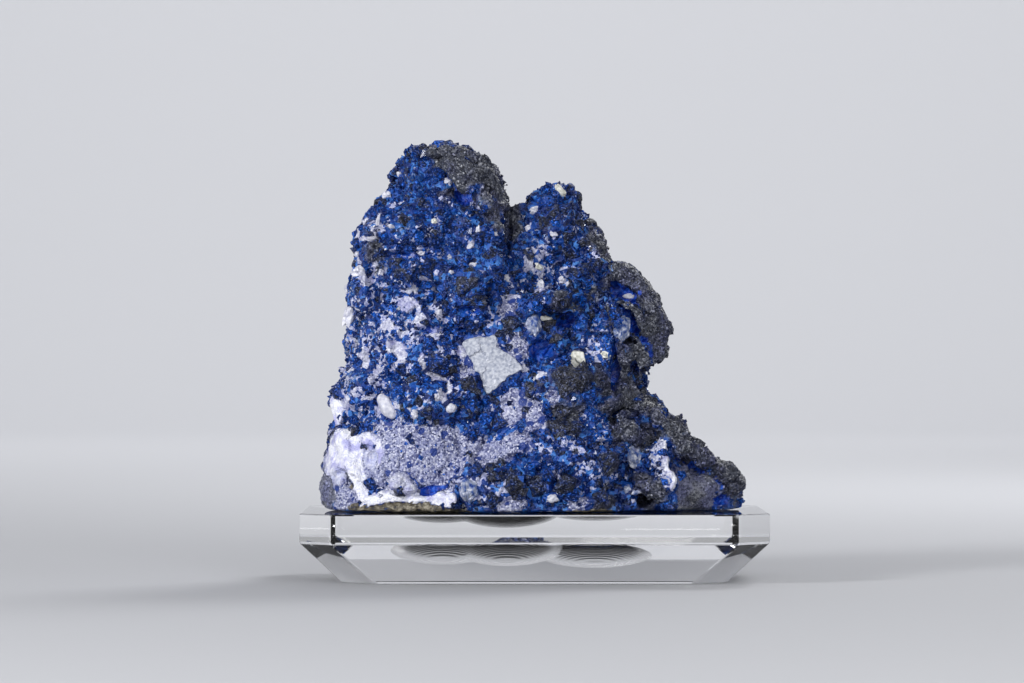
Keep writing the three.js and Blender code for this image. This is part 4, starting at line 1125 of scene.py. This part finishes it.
# Where the crystals are small and vivid blue.
VIVID_PATCHES = [
    (-56, -10, 56, 12, 30, 26), (-44, -18, 56, 12, 20, 12), (-50, -12, 92, 14, 20, 20),
    (-42, -10, 108, 9, 14, 8), (-22, -14, 98, 9, 15, 7), (-46, -26, 34, 16, 14, 7),
    (4, -16, 83, 11, 16, 11), (19, -25, 58, 7, 15, 8), (-6, -34, 26, 12, 15, 5), (20, -34, 29, 7, 12, 6),
    (19, -36, 12, 5, 12, 4), (-10, 30, 60, 30, 20, 22),
]


def index_of(places):
    """An index that finds the places near a spot."""
    index = KDTree(len(places))
    for i, place in enumerate(places):
        index.insert(place, i)
    index.balance()
    return index


def clear_of(spots, places, radii, share=0.72):
    """Which spots are outside that share of the radius of the crystal nearest to them."""
    nearest = map(index_of(places).find, spots)
    return np.array([distance > share * radii[i] for _, i, distance in nearest])


def spaced(places, radii, share):
    """Which crystals stay when the larger ones push out those whose centres they come too near to."""
    index, stays = index_of(places), np.ones(len(places), dtype=bool)
    for i in np.argsort(-radii):
        if stays[i]:
            for _, j, distance in index.find_range(places[i], 2 * share * radii[i]):
                if j != i and distance < share * (radii[i] + radii[j]):
                    stays[j] = False
    return stays


def columns(rows):
    """Rows of place, normal, radius and tint as four arrays."""
    return [np.array([row[i] for row in rows]) for i in range(4)]


def those(keep, *arrays):
    """The chosen rows of each array."""
    return [array[keep] for array in arrays]


large = [(*front_spot(x, z), LARGE_RADIUS * across, tint) for x, z, across, tint in LARGE_CRYSTALS]
large_places, large_normals, large_radii, large_tints = columns(large)
# They face the front a little more than the rock under them does.
large_normals += (0, -0.6, 0)
large_normals /= np.linalg.norm(large_normals, axis=1)[:, None]
# On the hidden sides they stand at random, behind this y and below this height.
HIDDEN_BACK = 6
HIDDEN_TOP = 108
places, normals, quartz, white, crust, milky = scattered(900)
radii = 1.8 + 2.4 * rng.random(len(places)) ** 2
keep = (places[:, 1] > HIDDEN_BACK) & (places[:, 2] < HIDDEN_TOP) & (quartz < 0.3)
keep &= (crust < 0.1) | (rng.random(len(places)) < 0.3)
places, normals, radii = those(keep, places, normals, radii)
keep = spaced(places, radii, share=1.5)
large_places = np.concatenate([large_places, places[keep]])
large_normals = np.concatenate([large_normals, normals[keep]])
large_radii = np.concatenate([large_radii, radii[keep]])
large_tints = np.concatenate([large_tints, 0.3 + 0.4 * rng.random(keep.sum())])
slate = frosted_fluorite()
grown("large_frosted_crystals", slate, (large_places, large_normals, large_radii, large_tints),
      (PITTED_FACE_OUT, PITTED_CORNER_OUT), sunk=0.3, lean=0.25, unevenness=0.5)
places, normals, quartz, white, crust, milky = scattered(14000)
# Few or none grow on quartz, on the crust and in the milky parts.
bare = np.maximum.reduce([quartz * (0.99 + 0.01 * white), stepped(crust, 0.1, 0.5) * 0.996, milky * 0.4])
vivid = patch_cover(places, VIVID_PATCHES, edge=0.6)
# They are 1.2 to 3.2 mm in radius, and smaller where they are vivid.
radii = (1.2 + 2.0 * rng.random(len(places)) ** 1.5) * (1 - 0.38 * vivid)
keep = rng.random(len(places)) > bare
keep &= clear_of_inclusions(places, radii) & clear_of(places, large_places, large_radii)
places, normals, radii, vivid = those(keep, places, normals, radii, vivid)
keep = spaced(places, radii, share=0.72)
places, normals, radii, vivid = those(keep, places, normals, radii, vivid)
frosted_places, frosted_radii = places, radii
tints = 0.46 - 0.3 * vivid + 0.6 * clouds(places, 9) + rng.normal(0, 0.22, len(radii))
grown("frosted_crystals", slate, (places, normals, radii, np.clip(tints, 0, 1)),
      (BLUNT_FACE_OUT, BLUNT_FACE_OUT, BLUNT_CORNER_OUT), sunk=0.4, lean=0.22, unevenness=0.45)

# --------------------------------------------------------------------------------------
# Glassy crystals
# Small, clear, deep blue octahedra of fluorite, one to four millimetres across. They fill the ground
# between the frosted ones, and a few like them stand alone in the grainy quartz.
# --------------------------------------------------------------------------------------


def glassy_fluorite():
    """Clear blue fluorite with bright, smooth faces. Its blue is cloudy and differs between crystals."""
    material, tree, output = new_material("glassy_blue_fluorite")
    where = add_node(tree, "ShaderNodeTexCoord").outputs["Object"]
    stops = ((0.0, "021244"), (0.35, "032976"), (0.7, "0d4ba4"), (0.9, "3873c6"), (1.0, "98b4e8"))
    base = clouded(tree, where, stops, size=1.1, detail=5.0, share=1.2, offset=0.6)
    numbers = grains(tree, where, 0.45)[1]
    speck = add_node(tree, "ShaderNodeMapRange",
                     {"Value": numbers, "From Min": 0.8, "From Max": 0.95, "To Max": 0.5})
    speckled = add_node(tree, "ShaderNodeMix", {0: speck, 6: base, 7: from_hex("88a4e0")}, data_type="RGBA")
    height = add_node(tree, "ShaderNodeBump",
                      {"Height": numbers.outputs[1], "Distance": 0.2 * MM, "Strength": 0.6})
    surface = add_node(tree, "ShaderNodeBsdfPrincipled",
                       {"Base Color": speckled.outputs[2], "Roughness": 0.2, "IOR": 1.434,
                        "Specular IOR Level": 0.3, "Transmission Weight": 0.5, "Normal": height})
    tree.links.new(surface.outputs[0], output.inputs[0])
    return material


places, normals, quartz, white, crust, milky = scattered(48000)
radii = 0.6 + 1.3 * rng.random(len(places)) ** 3
# Few grow on quartz, be it grainy or white, and on the crust.
on_white, on_crust = stepped(white, 0.1, 0.5), stepped(crust, 0.1, 0.5)
bare = np.maximum.reduce([quartz * 0.975, on_white * 0.99, on_crust * 0.998, milky * 0.45])
keep = rng.random(len(places)) > bare
keep &= clear_of_inclusions(places, radii) & clear_of(places, large_places, large_radii)
keep &= clear_of(places, frosted_places, frosted_radii, share=0.75)
places, normals, radii, quartz = those(keep, places, normals, radii, quartz)
vivid = patch_cover(places, VIVID_PATCHES, edge=0.6)
tints = 0.42 + 0.5 * clouds(places, 8) + 0.25 * vivid + rng.normal(0, 0.16, len(places)) - 0.25 * quartz
grown("glassy_crystals", glassy_fluorite(), (places, normals, radii, np.clip(tints, 0, 1)),
      (FACE_OUT, FACE_OUT, CORNER_OUT), sunk=0.45, lean=0.3, unevenness=0.4)

# The ones that stand alone in the grainy quartz: x, z, radius.
LONE_CRYSTALS = [
    (-41.8, 22.5, 1.1), (-32, 22, 1.4), (-28, 21.4, 0.9), (-36.9, 18.2, 2.0), (-43.2, 20, 1.0),
    (-44, 17, 1.0), (-38, 21.6, 0.9), (-35.2, 13.2, 0.9), (-32, 13.2, 1.0), (-29.4, 12.4, 1.1),
    (-30, 15.4, 0.6), (-48.2, 12.2, 0.8), (-46.6, 27, 1.4), (-51.6, 26, 1.4), (-52.8, 9.4, 1.3),
    (-43.2, 8.6, 1.2), (-46, 7.6, 0.9), (-26, 14.6, 1.2), (-33, 25, 0.7), (-22.6, 21, 0.8), (-6.5, 34, 1.0),
    (-8, 24, 1.0), (2, 30, 0.9),
]
lone = [(*front_spot(x, z), radius, 0.0) for x, z, radius in LONE_CRYSTALS]
grown("lone_blue_crystals", slate, columns(lone), (BLUNT_FACE_OUT, BLUNT_CORNER_OUT), sunk=0.55, lean=0.15,
      unevenness=0.5)

# --------------------------------------------------------------------------------------
# Quartz grains
# Grains of the vein quartz itself, half a millimetre to two millimetres across. They stand up out of the
# bare quartz, and a few lie between the crystals.
# --------------------------------------------------------------------------------------


def sugary_quartz():
    """Sugary quartz: white and lavender grains, glassy when close, that sparkle as a whole."""
    material, tree, output = new_material("sugary_quartz")
    tint = add_node(tree, "ShaderNodeAttribute", attribute_name="tint")
    base = add_node(tree, "ShaderNodeValToRGB", {"Fac": tint.outputs["Fac"]},
                    ((0.0, "5a6088"), (0.3, "8f94b4"), (0.75, "b8bbd2"), (1.0, "e6e8f2")))
    surface = add_node(tree, "ShaderNodeBsdfPrincipled",
                       {"Base Color": base, "Roughness": 0.3, "IOR": 1.544})
    tree.links.new(surface.outputs[0], output.inputs[0])
    return material


places, normals, quartz, white, crust, milky = scattered(110000)
# How likely a grain stands at a spot.
grainy = (0.005 + 0.02 * milky + quartz * 0.14) * (1 - crust) * (1 - 0.97 * white)
keep = (rng.random(len(places)) < grainy) & clear_of(places, large_places, large_radii)
places, normals, quartz = those(keep, places, normals, quartz)
radii = 0.25 + 0.35 * rng.random(len(places)) ** 2 + (quartz < 0.5) * 0.4 * rng.random(len(places))
grown("quartz_grains", sugary_quartz(), (places, normals, radii, rng.random(len(places))), (CORNER_OUT,),
      sunk=0.25, lean=0.8, unevenness=0.7)

# --------------------------------------------------------------------------------------
# Grey crust
# A late skin of tiny grey fluorite crystals over the crest of the tall peak, the right lobe and the foot.
# It is one crystal deep and follows the rock under it.
# --------------------------------------------------------------------------------------


def grey_crust():
    """A crust of tiny grey fluorite crystals: dark between the grains, with bright points on them."""
    material, tree, output = new_material("grey_fluorite_crust")
    tint = add_node(tree, "ShaderNodeAttribute", attribute_name="tint")
    base = add_node(tree, "ShaderNodeValToRGB", {"Fac": tint.outputs["Fac"]},
                    ((0.0, "151926"), (0.4, "2b2f3e"), (0.75, "484c59"), (0.93, "767985"), (1.0, "b4b6be")))
    where = add_node(tree, "ShaderNodeTexCoord").outputs["Object"]
    colour = lilac_cast(tree, where, base.outputs[0])
    surface = add_node(tree, "ShaderNodeBsdfPrincipled",
                       {"Base Color": colour, "Roughness": 0.4, "IOR": 1.434, "Specular IOR Level": 0.25})
    tree.links.new(surface.outputs[0], output.inputs[0])
    return material


places, normals, quartz, white, crust, milky = scattered(105000)
keep = (rng.random(len(places)) < crust * 0.85) & clear_of(places, large_places, large_radii)
places, normals, white = those(keep, places, normals, white)
radii = 0.28 + 0.38 * rng.random(len(places)) ** 2
# It is paler where white quartz is under it.
tints = rng.random(len(places)) * (1 - 0.86 * white) + 0.86 * white
grown("grey_crust", grey_crust(), (places, normals, radii, tints), (FACE_OUT,), sunk=0.35, lean=0.5,
      unevenness=0.5)

# --------------------------------------------------------------------------------------
# The acrylic stand
# A block of clear cast acrylic with cut corners, bevelled in to a smaller foot and polished. A pocket is
# milled in its top to fit the rock's keel, and the cutter's steps are left in the pocket as fine rings.
# --------------------------------------------------------------------------------------
# The upright band's height, how far the foot is inset, and the cut corners of both.
BAND_HEIGHT = 9.5
FOOT_INSET = 13.2
CORNER_CUT = 10
FOOT_CORNER_CUT = 11.8
EDGE_ROUND = 0.5
low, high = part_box("acrylic_stand")
half_x, half_y = ((high[i] - low[i]) / MM / 2 for i in range(2))

stand_bm = bmesh.new()
bmesh.ops.create_cube(stand_bm, size=1)
bmesh.ops.scale(stand_bm, vec=(2 * half_x, 2 * half_y, BAND_HEIGHT), verts=stand_bm.verts)
bmesh.ops.translate(stand_bm, vec=(0, 0, -BAND_HEIGHT / 2), verts=stand_bm.verts)
upright = [e for e in stand_bm.edges if abs(e.verts[0].co.z - e.verts[1].co.z) > BAND_HEIGHT / 2]
bmesh.ops.bevel(stand_bm, geom=upright, offset=CORNER_CUT, affect="EDGES", segments=1, profile=0.5,
                material=-1)
underside = min(stand_bm.faces, key=lambda face: face.calc_center_median().z)
foot = bmesh.ops.extrude_face_region(stand_bm, geom=[underside])["geom"]
bmesh.ops.delete(stand_bm, geom=[underside], context="FACES_ONLY")
for vertex in (v for v in foot if isinstance(v, bmesh.types.BMVert)):
    x, y = abs(vertex.co.x), abs(vertex.co.y)
    on_end = x > half_x - 0.01
    x = half_x - FOOT_INSET - (0 if on_end else FOOT_CORNER_CUT)
    y = half_y - FOOT_INSET - (FOOT_CORNER_CUT if on_end else 0)
    vertex.co = math.copysign(x, vertex.co.x), math.copysign(y, vertex.co.y), -STAND_TOP
bmesh.ops.recalc_face_normals(stand_bm, faces=stand_bm.faces)
bmesh.ops.bevel(stand_bm, geom=stand_bm.edges[:], offset=EDGE_ROUND, affect="EDGES", segments=2,
                profile=0.5, material=-1)
stand = new_piece("clear_stand", stand_bm)

cutter_bm = bmesh.new()
for lump in KEEL_LUMPS:
    add_ellipsoid(cutter_bm, lump[:3], [half + FIT_GAP for half in lump[3:]], subdivisions=5)
cutter = new_piece("pocket_cutter", cutter_bm)
apply_modifier(cutter, "REMESH", mode="VOXEL", voxel_size=0.8 * MM)
apply_modifier(cutter, "SMOOTH", factor=0.5, iterations=6)
# The step between the cutter's rings, and what a wave's scale times its length is.
RING_STEP = 0.3
WAVE_SCALE = 0.314


def cast_acrylic(name, roughness, milled=False):
    """Cast acrylic: water-clear and glossy where polished, and dull with the cutter's fine rings where
    milled."""
    material, tree, output = new_material(name)
    surface = add_node(tree, "ShaderNodeBsdfPrincipled",
                       {"Base Color": (1, 1, 1, 1), "Roughness": roughness, "IOR": 1.49,
                        "Transmission Weight": 1.0})
    if milled:
        where = add_node(tree, "ShaderNodeTexCoord").outputs["Object"]
        rings = add_node(tree, "ShaderNodeTexWave",
                         {"Vector": where, "Scale": WAVE_SCALE / (RING_STEP * MM), "Distortion": 0.6,
                          "Detail": 1.0}, bands_direction="Z")
        height = add_node(tree, "ShaderNodeBump",
                          {"Height": rings.outputs["Fac"], "Distance": 0.12 * MM, "Strength": 0.8})
        tree.links.new(height.outputs[0], surface.inputs["Normal"])
    tree.links.new(surface.outputs[0], output.inputs[0])
    return material


stand.data.materials.append(cast_acrylic("polished_cast_acrylic", 0.02))
cutter.data.materials.append(cast_acrylic("milled_cast_acrylic", 0.25, milled=True))
apply_modifier(stand, "BOOLEAN", operation="DIFFERENCE", solver="EXACT", object=cutter,
               material_mode="TRANSFER")
for face in stand.data.polygons:
    face.use_smooth = face.material_index == 1
bpy.data.objects.remove(cutter)
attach(stand, "root")
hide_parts("acrylic_stand")

# --------------------------------------------------------------------------------------
# The studio
# A pale floor that curves up into a wall all round, a soft lamp at the left, a weaker one nearly in front,
# one behind that lights the edges, and one on the wall at the back. All of it is measured in metres.
# --------------------------------------------------------------------------------------
scene = bpy.context.scene
scene.view_settings.view_transform = "Standard"
FLOOR_RADIUS = 2.6
WALL_CURVE = 1.2
WALL_HEIGHT = 3.2
CURVE_STEPS = 12
floor_bm = bmesh.new()
profile = [floor_bm.verts.new((x, 0, 0)) for x in (0, 0.5 * FLOOR_RADIUS, FLOOR_RADIUS)]
for step in range(1, CURVE_STEPS + 1):
    angle = math.radians(90 * step / CURVE_STEPS)
    across, up = math.sin(angle), 1 - math.cos(angle)
    profile.append(floor_bm.verts.new((FLOOR_RADIUS + WALL_CURVE * across, 0, WALL_CURVE * up)))
profile.append(floor_bm.verts.new((FLOOR_RADIUS + WALL_CURVE, 0, WALL_HEIGHT)))
lines = [floor_bm.edges.new(pair) for pair in zip(profile, profile[1:])]
bmesh.ops.spin(floor_bm, geom=profile + lines, axis=(0, 0, 1), cent=(0, 0, 0), steps=96,
               angle=math.radians(360), use_merge=True)
bmesh.ops.remove_doubles(floor_bm, verts=floor_bm.verts, dist=0.0001)
bmesh.ops.recalc_face_normals(floor_bm, faces=floor_bm.faces)
bmesh.ops.reverse_faces(floor_bm, faces=floor_bm.faces)
for face in floor_bm.faces:
    face.smooth = True
floor_mesh = bpy.data.meshes.new("floor")
floor_bm.to_mesh(floor_mesh)
floor_bm.free()
floor = bpy.data.objects.new("floor", floor_mesh)
scene.collection.objects.link(floor)
floor_material, floor_tree, floor_output = new_material("pale_paper")
floor_surface = add_node(floor_tree, "ShaderNodeBsdfPrincipled",
                         {"Base Color": from_hex("bcbdc1"), "Roughness": 0.8})
floor_tree.links.new(floor_surface.outputs[0], floor_output.inputs[0])
floor_mesh.materials.append(floor_material)


def add_light(name, place, target, size, watts):
    """A square area light at a place in metres, turned to its target."""
    data = bpy.data.lights.new(name, "AREA")
    data.size = size
    data.energy = watts
    lamp = bpy.data.objects.new(name, data)
    lamp.location = place
    lamp.rotation_euler = (Vector(target) - Vector(place)).to_track_quat("-Z", "Y").to_euler()
    scene.collection.objects.link(lamp)


middle = (0, 0, 0.08)
add_light("key", (-1.05, -1.0, 0.55), middle, 0.4, 16.4)
add_light("fill", (0.4, -1.4, 0.5), middle, 0.7, 8.8)
add_light("rim", (0.6, 0.9, 0.9), middle, 0.5, 8)
add_light("backdrop", (0, 1.6, 2.2), (0, 3.8, 0.7), 1.2, 60)
world = bpy.data.worlds.new("studio")
world.use_nodes = True
world.node_tree.nodes["Background"].inputs[0].default_value = from_hex("eef0f4")
world.node_tree.nodes["Background"].inputs[1].default_value = 0.45
scene.world = world
